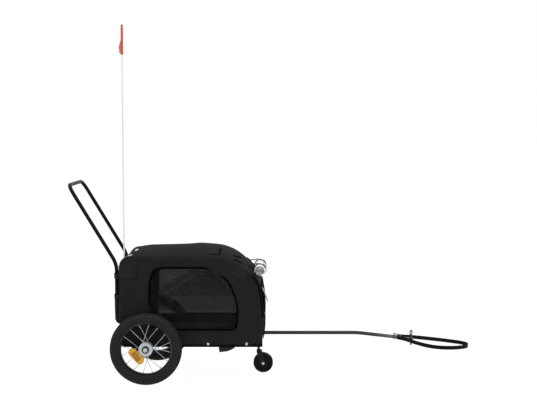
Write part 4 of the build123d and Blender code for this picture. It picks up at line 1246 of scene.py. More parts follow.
WHEEL_Y, BLOCKS, HALF_STEP = 237.5, 72, 0.0436
TREAD_ROWS = {
    "centre_tread": ((-3.2, 3.2, 0.0, 0.0, 0.030), 0.0),
    "left_tread": ((4.6, 11.0, 7.8, 0.0035, 0.027), HALF_STEP),
    "right_tread": ((-11.0, -4.6, -7.8, 0.0035, 0.027), HALF_STEP),
    "left_shoulder": ((12.4, 16.8, 14.6, 0.0, 0.022), 0.0),
    "right_shoulder": ((-16.8, -12.4, -14.6, 0.0, 0.022), 0.0),
}
for side_name, side in SIDES.items():
    axle = place(0, side * WHEEL_Y, AXLE_Z)
    tyre = lathe("carcass", TYRE_PROFILE, axle, (0, 1, 0), TYRE_RUBBER, segments=128)
    rows = [
        block_ring(name, tread_block(*sizes), BLOCKS, axle, TYRE_RUBBER, start)
        for name, (sizes, start) in TREAD_ROWS.items()
    ]
    whole = join_pieces(f"{side_name}_tyre_with_tread", [tyre, *rows])
    for face in whole.data.polygons:
        face.use_smooth = len(face.vertices) == 4 and face.area > 2e-5
    fit(whole, f"{side_name}_wheel_tyre", f"{side_name}_wheel")
print("tyre faces:", len(whole.data.polygons))

# %% [markdown]
# The hub ends carry a black dust seal round the silver axle nut. Spoke nipples sit where the
# spokes enter the rim, and a valve stands between two of them. They are small, but they are what
# tells a real wheel from a drawn one.

# %% Hub seals, nipples and valves
SEAL = [(9.9, 0.2), (9.9, 1.3), (11.2, 2.2), (13.6, 2.2), (14.9, 1.2), (15.2, 0.0)]
NIPPLE = [(0.0, 0.0), (1.9, 0.0), (1.9, 1.4), (1.5, 2.0), (1.5, 8.6), (1.2, 9.2), (0.0, 9.2)]
VALVE = [(0.0, 0.0), (3.1, 0.0), (3.1, 2.0), (2.6, 3.0), (2.6, 19.0), (3.3, 19.6), (3.3, 25.0)]
VALVE += [(2.4, 26.2), (0.0, 26.2)]

VALVE_TURN, VALVE_FOOT, SEAL_OUT, SPOKES, FIRST_SPOKE = math.radians(120), 104, 25.0, 16, math.radians(7.25)
valve_way = Vector((math.cos(VALVE_TURN), 0, math.sin(VALVE_TURN)))
for side_name, side in SIDES.items():
    axle = place(0, side * WHEEL_Y, AXLE_Z)
    wheel = f"{side_name}_wheel"
    seals = []
    for facing in (1, -1):
        foot = place(0, side * (WHEEL_Y + facing * SEAL_OUT), AXLE_Z)
        seals.append(lathe("seal", SEAL, foot, (0, side * facing, 0), BLACK_PLASTIC, segments=40))
    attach(join_pieces(f"{side_name}_hub_seals", seals), wheel)
    nipple = lathe("nipple", NIPPLE, (0, 0, 0.1058), (0, 0, -1), STEEL, segments=12, closed=False)
    ring = grow(
        nipple, AXLE_TREE, f"{side_name}_nipples", STEEL,
        Count=SPOKES, Start_turn=FIRST_SPOKE, Axle=tuple(axle),
    )
    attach(ring, wheel)
    foot = place(VALVE_FOOT * valve_way.x, side * WHEEL_Y, AXLE_Z + VALVE_FOOT * valve_way.z)
    valve = lathe(f"{side_name}_valve", VALVE, foot, -valve_way, BLACK_PLASTIC, segments=20)
    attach(valve, wheel)
print("wheel trims:", 6)

# %% [markdown]
# The swivel caster's wheel is solid rubber with square shoulders and a shallow groove on each face,
# turned in one piece round its plastic centre.

# %% Caster tyre
low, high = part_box("caster_tyre")
caster_axle = (low + high) / 2
caster_radius = 500 * (high.z - low.z)
CASTER_FACE = [(28.8, 12.0), (29.6, 15.2), (31.0, 15.9), (34.0, 16.0), (34.6, 15.0), (36.2, 15.0)]
CASTER_FACE += [(36.8, 16.0), (caster_radius - 3.2, 15.9), (caster_radius - 0.9, 14.6)]
CASTER_FACE += [(caster_radius, 12.2), (caster_radius, 4.0)]
caster_profile = CASTER_FACE + [(r, -a) for r, a in reversed(CASTER_FACE)]
caster_tyre = lathe("caster_tyre_rubber", caster_profile, caster_axle, (0, 1, 0), CASTER_RUBBER, segments=72)
fit(caster_tyre, "caster_tyre", "caster_wheel")
print("caster wheel radius", round(caster_radius, 1), "mm at", [round(v, 4) for v in caster_axle])

# %% [markdown]
# ## Trims on the sides
# The window is closed by a coil zip under a round black piping, which runs in two lengths and
# leaves a gap at the top front corner. Square patches reinforce the cloth where the frame pushes
# on it, each edged with a row of stitches. Along the bottom a bound hem holds the skin on the
# floor rails with snap studs.


# %% Piping and zips of the windows
def along_window(start, end, out=0.0, forwards=True):
    """Points on the window's edge from near one (x, z) to near another, moved outwards."""
    first = min(range(len(WINDOW)), key=lambda k: math.dist(WINDOW[k], start))
    last = min(range(len(WINDOW)), key=lambda k: math.dist(WINDOW[k], end))
    step = 1 if forwards else -1
    count = step * (last - first) % len(WINDOW)
    return [window_grown((first + step * i) % len(WINDOW), out) for i in range(count + 1)]


ZIP_RUNS = {
    "rear": along_window((259, 491), (13, 334), 1.5, forwards=False),
    "front": along_window((325, 455), (100, 229), 1.5),
}
CORD_WIDTH, CORD_Y, TEETH_Y = {"rear": 6.4, "front": 5.8}, 201.4, 198.9
for side_name, side in SIDES.items():
    cords, teeth = [], []
    for run_name, run in ZIP_RUNS.items():
        smooth_run = [Vector(run[0])]
        for a, b in zip(run, run[1:]):
            smooth_run += [Vector(a).lerp(Vector(b), 0.5), Vector(b)]
        line = [place(x, side * CORD_Y, z) for x, z in smooth_run]
        cords.append(sweep("cord", line, round_profile(CORD_WIDTH[run_name]), PIPING, up=(0, 1, 0)))
        inner = along_window(run[0], run[-1], -3.5, forwards=run_name == "front")
        teeth.append([place(x, side * TEETH_Y, z) for x, z in inner])
    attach(join_pieces(f"{side_name}_window_piping", cords), "trailer")
    stitches(f"{side_name}_window_zip", teeth, "trailer", BLACK_PLASTIC, 2.4, 1.3, 3.2)
print("zip runs:", {name: len(run) for name, run in ZIP_RUNS.items()})

# %% [markdown]
# The patches are cut flat like the side cloth and take its folds, so they lie on it. A narrow tape
# covers the edges that meet no seam.

# %% Reinforcing patches and edge tapes
REAR_PATCH = [(-117.0, 446), (-45, 446), (-45, 518), (-92, 518), (-108, 512), (-117.0, 500)]
FRONT_PATCH = [(361.7, 468.7), (389.7, 505.5), (418, 486), (437.9, 470), (402.3, 438)]
PATCH_LEVEL = 200.8


def softened_loop(corners, radius, step=6.0):
    """A closed outline whose corners are all rounded alike."""
    return [tuple(p) for p in rounded(corners, [radius] * len(corners), closed=True, step=step)]


def shrunk(loop, by):
    """A closed loop with each point moved towards its middle."""
    middle = sum((Vector(p) for p in loop), Vector((0, 0))) / len(loop)
    return [tuple(Vector(p) + (middle - Vector(p)).normalized() * by) for p in loop]


def patch_piece(name, corners, side):
    """A patch of cloth lying on the side, with a row of stitches just inside its edge."""
    loop = softened_loop(corners, 4.0)
    cloth = side_sheet(name, flat_cut(loop, grid=14.0), PATCH_LEVEL, side, PATCH_CLOTH, side_fold, 1.1)
    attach(cloth, "trailer")
    run = [place(x, side * (PATCH_LEVEL + side_fold(x, z) + 0.9), z) for x, z in shrunk(loop, 5.0)]
    stitches(name + "_stitches", [run + run[:1]], "trailer", THREAD, 4.0, 3.0, 0.8)


def edge_tape(run, side):
    """A narrow tape over the edge of a patch, through (x, z) corners."""
    pairs = list(zip(run, run[1:]))
    line = [Vector(a).lerp(Vector(b), k / 6) for a, b in pairs for k in range(6)] + [Vector(run[-1])]
    path = [place(x, side * (PATCH_LEVEL + 0.8 + side_fold(x, z)), z) for x, z in line]
    return sweep("tape", path, band_profile(5.0, 1.8), PATCH_CLOTH, up=(0, side, 0))


for side_name, side in SIDES.items():
    for label, corners in (("rear", REAR_PATCH), ("front", FRONT_PATCH)):
        patch_piece(f"{side_name}_{label}_patch", corners, side)
    tapes = [edge_tape(run, side) for run in (REAR_PATCH[2::-1], FRONT_PATCH[2:] + FRONT_PATCH[:1])]
    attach(join_pieces(f"{side_name}_edge_tapes", tapes), "trailer")

# %% [markdown]
# The hem is a thick tape carried round the foot of the cabin in one ring. Steel snap studs hold it
# to the floor rails on both sides.

# %% Hem and studs
HEM_BACK, HEM_FRONT, HEM_HALF, HEM_Z, HEM_TURN = -118.6, 489.4, 200.2, 158.4, 11.0
HEM_CORNERS = [(HEM_BACK, -HEM_HALF), (HEM_FRONT, -HEM_HALF), (HEM_FRONT, HEM_HALF), (HEM_BACK, HEM_HALF)]
hem_plan = softened_loop(HEM_CORNERS, HEM_TURN, 9.0)
hem_line = [place(x, y, HEM_Z) for x, y in hem_plan]
hem_profile = [(b, a) for a, b in reversed(band_profile(10.5, 2.6))]
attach(sweep("bottom_hem", hem_line, hem_profile, HEM_TAPE, ring=True), "trailer")
hem_row = [place(x, y * 1.0075, HEM_Z + 3.2) for x, y in hem_plan]
stitches("hem_stitches", [hem_row + hem_row[:1]], "trailer", THREAD, 4.2, 3.2, 0.8)

STUD = [(0.0, 0.0), (6.2, 0.0), (6.2, 0.9), (5.4, 1.7), (4.6, 2.3), (3.0, 2.9), (0.0, 3.1)]
studs = [
    lathe("stud", STUD, place(x, side * HEM_HALF, 166.0), (0, side, 0), STEEL, segments=24)
    for side in SIDES.values()
    for x in (260.0, 424.0)
]
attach(join_pieces("snap_studs", studs), "trailer")
print("patches, hem and studs made")

# %% [markdown]
# ## Details on the roof
# The roof has a flap that opens over the dog's head. Its front corner shows as a short black bound
# edge, whose black also stands in for the shadow under the raised corner: painted shade. Two short
# black bands lie near the brow. Two short pale strips near the rear seam are a painted highlight.
# Each is laid on the skin by its place along the cabin's line and across it.


# %% Roof flap corner, brow bands and rear pale strips
def skin_normal(s):
    """The outward direction of the cabin's line at s."""
    (x0, z0), (x1, z1) = side_view(s), side_view(s, 1.0)
    return Vector((x1 - x0, 0, z1 - z0))


def laid_line(stops, lift, parts=8):
    """Points on the skin along straight runs between (s, y) stops, with the skin's normals."""
    line, normals = [], []
    for (s0, y0), (s1, y1) in zip(stops, stops[1:]):
        for k in range(parts):
            s, y = s0 + (s1 - s0) * k / parts, y0 + (y1 - y0) * k / parts
            line.append(on_skin(s, y, lift))
            normals.append(skin_normal(s))
    line.append(on_skin(*stops[-1], lift))
    normals.append(skin_normal(stops[-1][0]))
    return line, normals


def laid_band(name, stops, width, thick, material, lift=0.3, parts=8):
    """A flat band lying on the skin through (s, y) stops."""
    line, normals = laid_line(stops, lift + thick / 2, parts)
    return sweep(name, line, band_profile(width, thick), material, up=lambda i: normals[i])


# The black of the flap's bound edge also stands in for the shadow under its raised corner: painted shade.
flap_edge = [
    laid_band("flap_edge", [(410, -165.5), (437, -169), (449, -170)], 5.5, 1.8, PIPING),
    laid_band("flap_edge", [(452, -171), (451, -140), (450.5, -112), (450, -82)], 4.5, 1.6, PIPING),
    laid_band("brow_band", [(508, -127), (524, -101), (541, -73)], 5.0, 2.2, PIPING),
    laid_band("brow_band", [(514, -175), (534, -161), (554, -149)], 5.5, 2.2, PIPING),
]
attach(join_pieces("roof_flap_edges", flap_edge), "trailer")
# Pale strips near the rear seam: a painted highlight.
strips = [
    laid_band("strip", [(64, -190), (71, -178), (78, -160)], 7.0, 1.2, HIGHLIGHT_TAPE, lift=0.5),
    laid_band("strip", [(84, -82), (88, -70), (91, -58)], 9.0, 1.2, HIGHLIGHT_TAPE, lift=0.5),
]
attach(join_pieces("rear_pale_strips", strips), "trailer")
seams = [laid_line([(10, side * 181), (600, side * 181)], 0.4, 60)[0] for side in SIDES.values()]
seams += [laid_line([(s, -178), (s, 178)], 0.4, 24)[0] for s in (ROOF_END - 4, 6)]
stitches("roof_seam_stitches", seams, "trailer", THREAD, 4.2, 3.2, 0.8)
print("roof details laid")

# %% [markdown]
# ## The front door
# The door is a flap hinged along its top edge: a border of canvas round a mesh window, closed by a
# zip on three sides. It lies just outside the front canvas and swings up with its own joint, so
# every part of it rides on the door's body. It is made like the skin: a section is carried along
# the cabin's line, a few millimetres further out.

# %% Door flap, its mesh and binding
FLAP_HALF, FLAP_TOP, FLAP_FOOT = 164.0, 409.0, 181.0
MESH_HALF, MESH_TOP, MESH_FOOT = 129.0, 375.0, 216.0
flap_s = [s_at_height(z) for z in (FLAP_TOP, MESH_TOP, MESH_FOOT, FLAP_FOOT)]


def door_row(s, ys, out):
    """Points across the door at s, bowed slightly outwards in the middle."""
    bow = [out + 0.7 * (1 - (y / FLAP_HALF) ** 2) + 0.25 * hollow(s * 1.7, y * 0.6) for y in ys]
    return [off_line(s, y, n) for y, n in zip(ys, bow)]


def door_sheet(name, stations, ys, out, material, keep=None, thickness=1.4, levels=1):
    """A sheet that follows the front of the cabin at a distance outwards."""
    points = [p for s in stations for p in door_row(s, ys, out)]
    uvs = [(s / 1000, y / 1000) for s in stations for y in ys]
    piece = make_piece(name, points, grid_faces(len(stations), len(ys), keep), material, uvs)
    return thicken(piece, thickness, levels=levels)


door_stations = stops_between(flap_s, (9, 13, 9))
door_ys = stops_between((FLAP_HALF, MESH_HALF, -MESH_HALF, -FLAP_HALF), (9, 20, 9))


def door_border(r, c):
    """Keeps the faces between the flap's edge and its mesh window."""
    inside_s = flap_s[1] - 0.1 <= door_stations[r] < flap_s[2] - 0.1
    return not (inside_s and MESH_HALF + 0.1 > door_ys[c] > -MESH_HALF + 0.1)


flap = door_sheet("door_flap", door_stations, door_ys, 3.4, BODY_CLOTH, door_border, 1.6)
fit(flap, "front_door", "front_door")

mesh_stations = spread(flap_s[1] - 6, flap_s[2] + 6, 11)
mesh_ys = spread(MESH_HALF + 6, -MESH_HALF - 6, 13)
mesh_sheet = door_sheet("door_mesh", mesh_stations, mesh_ys, 2.3, NETTING, None, 0.5, 0)
fit(mesh_sheet, "front_door_mesh", "front_door")

# %% [markdown]
# The door's edge is bound with tape, and its zip runs just inside the binding. Both follow a closed
# loop on the door's own surface, so that they swing with it.


# %% Door binding, zip and stitches
def door_loop(half, top, foot, radius, out):
    """A closed line round the door through its four rounded corners, with its normals."""
    high, low = flap_s[0] + top, flap_s[3] - foot
    line, normals = [], []
    for s, y in softened_loop([(high, half), (high, -half), (low, -half), (low, half)], radius, 7.0):
        line += door_row(s, [y], out)
        normals.append(skin_normal(s))
    return line, normals


ZIP_HALF, ZIP_TOP, ZIP_FOOT, ZIP_TURN = FLAP_HALF - 12, 10.0, 11.0, 12
edge_line, edge_normals = door_loop(FLAP_HALF - 3.4, 5.5, 3.0, 14, 3.4)
binding = sweep(
    "door_binding", edge_line, band_profile(8.5, 3.6), PIPING, up=lambda i: edge_normals[i], ring=True
)
zip_line, zip_normals = door_loop(ZIP_HALF, ZIP_TOP, ZIP_FOOT, ZIP_TURN, 4.0)
tape = sweep(
    "door_zip_tape", zip_line, band_profile(9.0, 0.9), HEM_TAPE, up=lambda i: zip_normals[i], ring=True
)
for piece in (binding, tape):
    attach(piece, "front_door")
teeth_line, _ = door_loop(ZIP_HALF, ZIP_TOP, ZIP_FOOT, ZIP_TURN, 4.6)
stitches("door_zip_teeth", [teeth_line + teeth_line[:1]], "front_door", BLACK_PLASTIC, 2.4, 1.3, 3.4)
seam_rows = [door_loop(*sizes, 8, 3.9)[0] for sizes in ((FLAP_HALF - 19, 18, 18), (MESH_HALF + 4.5, 30, 30))]
stitches("door_stitches", [row + row[:1] for row in seam_rows], "front_door", THREAD, 4.0, 3.0, 0.8)
print("door rows:", len(door_stations), "columns:", len(door_ys))

# %% [markdown]
# The zip's slider hangs near the top corner of the door, with a long ribbon to pull it by, so that
# a gloved hand can find it. The doorway's raw edge is bound on the front canvas itself, and a small
# stitched tab covers each lower corner of the skin.

# %% Zip pull, doorway binding and corner tabs
PULL_PATH = [(493.0, -155, 399), (496.0, -159, 394), (499.5, -163, 386)]
PULL_PATH += [(505.5, -165, 368), (510.5, -166, 352), (513.4, -166, 344)]
pull_line = spline_points("door_zip_pull", [place(*p) for p in PULL_PATH])
pull = sweep("door_zip_pull", pull_line, band_profile(5.0, 1.0), ZIP_RIBBON, up=(0, 1, 0.05))
slider_line = [place(489.6, -152, 402), place(490.8, -152, 395), place(492.0, -152, 388)]
slider = sweep("slider", slider_line, band_profile(8.0, 3.4), STEEL, up=(1, 0, 0.15))
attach(join_pieces("door_zip_pull_and_slider", [pull, slider]), "front_door")

way = [(head_s, DOOR_HALF), (head_s, -DOOR_HALF), (sill_s, -DOOR_HALF), (sill_s, DOOR_HALF)]
way_stops = softened_loop(way, 3, 9.0)
way_line = [on_skin(s, y, 0.2) for s, y in way_stops]
way_band = sweep(
    "doorway_binding", way_line, band_profile(7.0, 2.6), HEM_TAPE,
    up=lambda i: skin_normal(way_stops[i][0]), ring=True,
)
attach(way_band, "trailer")

TAB_PATH = [(488.5, 172.0), (490.8, 164.0), (490.6, 154.0)]
tabs = []
for side in SIDES.values():
    tab_line = [place(x, side * 199.5, z) for x, z in TAB_PATH]
    tabs.append(sweep("tab", tab_line, band_profile(13.0, 2.0), HEM_TAPE, up=(1, 0, 0)))
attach(join_pieces("front_corner_tabs", tabs), "trailer")
print("zip pull, doorway binding and tabs made")

# %% [markdown]
# ## Inner curtains
# Behind each window hangs a thin curtain that can be drawn against the sun. On the left side it is
# half drawn. Three layers of see-through cloth of different density make it: a denser band along a
# slanting line and a thinner foot, which make the view through the window darker along that line
# and lighter below. The right window's curtain is rolled up above the window.


# %% Curtains
def curtain_fold(x, z):
    """Slow vertical folds with finer ones on them."""
    slow = noise.noise(Vector((x / 26, z / 160, 2.7)))
    fine = noise.noise(Vector((x / 9, z / 90, 7.1)))
    return 1.1 * slow + 0.5 * fine


def hanging(name, outline, level, material):
    """A flat cut of thin cloth hanging inside the left window."""
    cut = flat_cut(outline, grid=15.0)
    cloth = side_sheet(name, cut, level, SIDES["left"], material, curtain_fold, 0.4, levels=0)
    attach(cloth, "trailer")
    return cloth


main_cut = [(28, 309), (86.8, 345.8), (211.4, 424.6), (318, 494), (398, 494), (398, 309)]
dense_band_cut = [(4, 297), (4, 341), (12, 345.8), (156.3, 426.4), (274, 494)]
dense_band_cut += [(309, 494), (205, 426), (80.4, 347.2), (21, 309), (21, 297)]
foot_cut = [(6, 240), (6, 291), (22, 309), (392, 309), (392, 240)]
main = hanging("left_curtain", main_cut, 191.6, CURTAIN)
edge = hanging("left_curtain_dense_band", dense_band_cut, 190.2, CURTAIN_DENSE_BAND)
foot = hanging("left_curtain_foot", foot_cut, 188.8, CURTAIN_FOOT)

rolled = [place(x, -186, 505 + 1.5 * math.sin(x / 60)) for x in spread(30, 300, 18)]
rolled_curtain = sweep("right_rolled_curtain", rolled, round_profile(13, 14), CURTAIN)
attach(rolled_curtain, "trailer")
print("curtain layers:", len(main.data.polygons), len(edge.data.polygons), len(foot.data.polygons))

# %% [markdown]
# ## The rolled rain cover
# A clear vinyl sheet is rolled up above the door and held by two webbing straps. The sheet is a
# real spiral with a gap between its turns, so its ends show as rings. Each strap starts on the
# roof, goes over the roll and round it, and ends in a short tail through a ladder buckle.

# %% Rolled rain cover and its straps
low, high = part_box("rain_cover_roll")
ROLL_X, ROLL_Z = 1000 * ((low.x + high.x) / 2 - AXLE_X), 500 * (low.z + high.z)
ROLL_HALF, ROLL_OUTER, ROLL_INNER, TURNS, ROLL_STEPS = 130.5, 22.4, 7.5, 3.3, 150


def on_roll(angle, radius, y):
    """A point round the roll, by its angle, its radius and its place along it."""
    return place(ROLL_X + radius * math.cos(angle), y, ROLL_Z + radius * math.sin(angle))


roll_points, roll_uvs, run = [], [], 0.0
roll_ys = spread(-ROLL_HALF, ROLL_HALF, 17.5)
for i in range(ROLL_STEPS + 1):
    part = i / ROLL_STEPS
    angle = math.radians(205) - 2 * math.pi * TURNS * part
    radius = ROLL_OUTER - (ROLL_OUTER - ROLL_INNER) * part + 0.5 * math.sin(5 * angle) * (0.3 + part)
    run += 0.0 if i == 0 else radius * 2 * math.pi * TURNS / ROLL_STEPS / 1000
    for y in roll_ys:
        spot = Vector((y / 30, 3 * math.cos(angle), 3 * math.sin(angle) + part * 7))
        slip = 2.2 * math.sin(angle * 0.5) if abs(y) == ROLL_HALF else 0.0
        shifted = y + math.copysign(slip, y) * 0.5
        roll_points.append(on_roll(angle, radius + 0.5 * noise.noise(spot), shifted))
        roll_uvs.append((run, y / 1000))
cover = make_piece(
    "rolled_rain_cover", roll_points, grid_faces(ROLL_STEPS + 1, len(roll_ys)), CLEAR_FILM, roll_uvs
)
thicken(cover, 0.9, offset=0.0, levels=0)
fit(cover, "rain_cover_roll")

# %% [markdown]
# Each strap is a flat band that starts on the roof and goes round the roll. A ladder buckle is three
# cross bars between two side bars, and the strap's tail hangs out below it.

# %% Roll straps and buckles
BUCKLE_HALF, BUCKLE_RADIUS = 14.5, 26.2
TAIL = [(34, 27.2), (20, 27.6), (5, 28.2), (-12, 29.6), (-26, 31.4)]


def roll_strap(y):
    """One strap over the roll and round it, with its ladder buckle and tail."""
    start, over = on_skin(584, y, 0.8), (ROLL_X - 12, y)
    path = [start, start.lerp(place(*over, ROLL_Z + 25.0), 0.5), place(*over, ROLL_Z + 25.2)]
    path += [on_roll(math.radians(88 - 338 * k / 40), 24.4, y) for k in range(41)]
    parts = [sweep("strap", path, on_edge(24.0, 1.5), WEBBING, up=(0, 1, 0))]
    wire = round_profile(2.8, 8)
    for turn in (27, 38, 49):
        ends = (-BUCKLE_HALF, 0, BUCKLE_HALF)
        bar = [on_roll(math.radians(turn), BUCKLE_RADIUS, y + d) for d in ends]
        parts.append(sweep("bar", bar, wire, BLACK_PLASTIC))
    for d in (-BUCKLE_HALF, BUCKLE_HALF):
        side_bar = [on_roll(math.radians(a), BUCKLE_RADIUS, y + d) for a in spread(26, 50, 4)]
        parts.append(sweep("side", side_bar, wire, BLACK_PLASTIC, up=(0, 1, 0)))
    tail = [on_roll(math.radians(a), r, y) for a, r in TAIL]
    return parts + [sweep("tail", tail, on_edge(22.0, 1.6), WEBBING, up=(0, 1, 0))]


straps = roll_strap(75.0) + roll_strap(-75.0)
whole = join_pieces("roll_straps_and_buckles", straps)
fit(whole, "roll_straps")
print("rolled sheet is", round(run, 3), "m long, turns", TURNS)

# %% [markdown]
# ## The rear pocket
# A bag is sewn to the back wall. Its front is cut wider than the wall it covers, so it bows out in
# plan and sags. An elastic band gathers its mouth, and a second band halfway makes a lower pocket.
# It is one lofted shell: rows of points at each height, with the depth set by a simple curve.

# %% Rear pocket
POCKET_HALF, POCKET_DEEP, POCKET_WALL_X = 148.0, 39.0, -119.4
POCKET_Z = [240, 240.3, 241.2, 243.5, 250, 262, 278, 296, 316, 336, 354, 370]
POCKET_FILL = [0.03, 0.50, 0.84, 0.95, 0.99, 1.0, 1.02, 1.02, 1.01, 1.0, 0.98, 0.95]
POCKET_Z += [380, 385, 388, 391, 396, 403, 412, 422, 432, 440, 446]
POCKET_FILL += [0.91, 0.87, 0.84, 0.87, 0.91, 0.93, 0.92, 0.90, 0.87, 0.84, 0.83]
pocket_ys = spread(-POCKET_HALF, POCKET_HALF, 9.0)


def pocket_depth(y, z, fill):
    """How far the pocket stands off the back wall."""
    share = max(0.0, 1 - abs(y / POCKET_HALF) ** 2.6)
    gather = 1.0 if z < 372 else (z - 372) / 74
    gathers = 0.8 * math.sin(y / 5.2) * max(0.0, gather - 0.55)
    folds = gathers + 1.4 * noise.noise(Vector((y / 44, z / 52, 1.3)))
    return max(0.6, POCKET_DEEP * fill * share + folds * min(1.0, 4 * share) * min(1.0, 3 * fill))


def on_pocket(y, z, fill, out=0.0, sag=1.0):
    """A point on the pocket, which hangs a little lower in its middle."""
    droop = 2.5 * max(0.0, 1 - abs(y / POCKET_HALF) ** 2) * sag
    return place(POCKET_WALL_X - pocket_depth(y, z, fill) - out, y, z - droop)


pocket_points, pocket_uvs = [], []
for z, fill in zip(POCKET_Z, POCKET_FILL):
    pocket_points += [on_pocket(y, z, fill, sag=1.0 if z > 300 else 0.4) for y in pocket_ys]
    pocket_uvs += [(y / 1000, z / 1000) for y in pocket_ys]
pocket_faces = grid_faces(len(POCKET_Z), len(pocket_ys))
# The bag's near-black cloth is partly the pocket's own colour and partly painted shade for the cabin's
# shaded rear end.
pocket = make_piece("rear_pocket_bag", pocket_points, pocket_faces, PAINTED_SHADE_CLOTH, pocket_uvs)
thicken(pocket, 1.5, offset=1.0)
fit(pocket, "rear_pocket")


def pocket_row(z, fill, out):
    """A line of points across the pocket at one height."""
    return [on_pocket(y, z, fill, out) for y in spread(-POCKET_HALF + 0.5, POCKET_HALF - 0.5, 6.0)]


bands = [
    sweep("mouth", pocket_row(444, 0.835, 0.6), band_profile(3.6, 9.0), HEM_TAPE, up=(0, 0, 1)),
    sweep("waist", pocket_row(388, 0.84, 0.4), band_profile(3.2, 7.0), HEM_TAPE, up=(0, 0, 1)),
]
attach(join_pieces("pocket_bands", bands), "trailer")
rows = [pocket_row(435, 0.86, 1.7), pocket_row(380, 0.91, 1.7), pocket_row(252, 0.99, 1.7)]
stitches("pocket_stitches", rows, "trailer", THREAD, pitch=4.0, length=3.0, width=0.8)
print("pocket rows:", len(POCKET_Z), "by", len(pocket_ys))

# %% [markdown]
# ## The flag
# A limp pennant of signal cloth hangs from the top of a whippy rod. With no wind it turns along its
# hoist, folds over on itself and droops, so it is a triangular sheet whose rows are bent by a few
# waves that grow towards the tip. A sewn tube holds it on the rod.

# %% Pennant
FLAG_HOIST, FLAG_FLY, FLAG_TOP, FLAG_POLE = 117.0, 225.0, 1507.0, (-97.0, -170.0)
flag_turn = math.radians(11.7)
flag_out = Vector((-math.sin(flag_turn), math.cos(flag_turn)))


def on_flag(u, v):
    """A point of the pennant, u of the way out along it and v of the way down its hoist."""
    fall = 94.0 * u ** 0.68 + 1.5 * math.sin(3.2 * u + 0.6) * u
    down = v * (FLAG_HOIST - 2) * (1 - u) * (1 - 0.10 * math.sin(math.pi * u))
    height = FLAG_TOP - 1.0 - down - fall * (1 - 0.12 * v * (1 - u ** 6))
    wave = 2.6 * u * math.sin(7.6 * u + 1.5 * v) + 1.3 * u * math.sin(15.0 * u + 2.6 * v + 1.0)
    reach = FLAG_FLY * u * 0.985
    x = FLAG_POLE[0] + (4.0 + reach) * flag_out.x + wave * flag_out.y
    y = FLAG_POLE[1] + 3.0 + reach * flag_out.y - wave * flag_out.x
    return place(x, y, height)


along_fly, down_hoist = spread(0.0, 1.0, 1 / 34), spread(0.0, 1.0, 1 / 12)
flag_points = [on_flag(u, v) for u in along_fly for v in down_hoist]
flag_uvs = [(u * FLAG_FLY / 1000, v * FLAG_HOIST * (1 - u) / 1000) for u in along_fly for v in down_hoist]
flag_faces = grid_faces(len(along_fly), len(down_hoist))
pennant = make_piece("orange_pennant", flag_points, flag_faces, FLAG_CLOTH, flag_uvs)
thicken(pennant, 0.8, offset=0.0)
fit(pennant, "flag")
tube_line = [place(*FLAG_POLE, z) for z in spread(FLAG_TOP - FLAG_HOIST, FLAG_TOP, 6)]
hoist = sweep("flag_hoist_tube", tube_line, round_profile(10.4, 16), FLAG_CLOTH, up=(0, 1, 0))
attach(hoist, "trailer")
hoist_rows = []
for a in (-0.5, 0.5):
    beside = Vector((0.0052 * math.sin(a), 0.0052 * math.cos(a), 0))
    hoist_rows.append([p + beside for p in tube_line])
stitches("flag_stitches", hoist_rows, "trailer", THREAD, 4.0, 2.8, 0.7)
ROD_CAP = [(3.05, -9.0), (4.0, -9.0), (4.0, 1.0), (2.6, 2.6), (0.0, 3.0), (0.0, 0.2), (3.05, 0.2)]
cap = lathe("rod_cap", ROD_CAP, place(*FLAG_POLE, 1511), (0, 0, 1), BLACK_PLASTIC, segments=20)
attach(cap, "trailer")

# %% [markdown]
# The rod stands in a sewn sleeve in the cabin's rear corner: a narrow tube of cloth with a flange
# that joins it to the corner seam.

# %% Flag sleeve
SLEEVE = [(3.3, -75.5), (4.7, -76), (4.9, -60), (4.6, -20), (4.9, 20), (4.7, 60), (4.9, 76), (3.3, 75.5)]
FLANGE = [(-100.5, -167.0), (-108.0, -162.0), (-114.2, -158.5)]
sleeve_tube = lathe("sleeve", SLEEVE, place(*FLAG_POLE, 385), (0, 0, 1), BODY_CLOTH, segments=20)
flange_zs = spread(310, 460, 15)
flange_points = [place(x, y, z) for z in flange_zs for x, y in FLANGE]
flange = make_piece("flange", flange_points, grid_faces(len(flange_zs), len(FLANGE)), BODY_CLOTH)
thicken(flange, 1.6, offset=0.0, levels=0)
sleeve = join_pieces("flag_rod_sleeve", [sleeve_tube, plain_mesh(flange, "flange", BODY_CLOTH)])
fit(sleeve, "flag_sleeve")
print("pennant faces:", len(pennant.data.polygons))

# %% [markdown]
# ## Webbing and cord at the hitch
# The safety strap's two ends are sewn into a narrow band round the drawbar. A short twisted cord
# ties the hitch pin to the bar so that it can't be lost; it is two strands wound round each other.
# Under the floor the end of a storage strap is folded over and stitched.

# %% Strap band, pin lanyard and storage strap
UP = Vector((0, 0, 1))
BAR_ACROSS = BAR_HEADING.cross(UP)
bar_end = place(*BAR_END)


def round_bar(middle, radius, turn):
    """A point round the bar's line, in metres."""
    return middle + (BAR_ACROSS * math.cos(turn) + UP * math.sin(turn)) * radius


def round_points(middle, radius, count):
    """Points all the way round the bar's line."""
    return [round_bar(middle, radius, 2 * math.pi * k / count) for k in range(count)]


band_middle = bar_end - BAR_HEADING * 0.0092
ring_line = round_points(band_middle, 0.0104, 36)
strap_ring = sweep(
    "strap_band_round_bar", ring_line, band_profile(10.0, 1.6), WEBBING,
    up=lambda i: (ring_line[i] - band_middle).normalized(), ring=True,
)
fit(strap_ring, "strap_band")

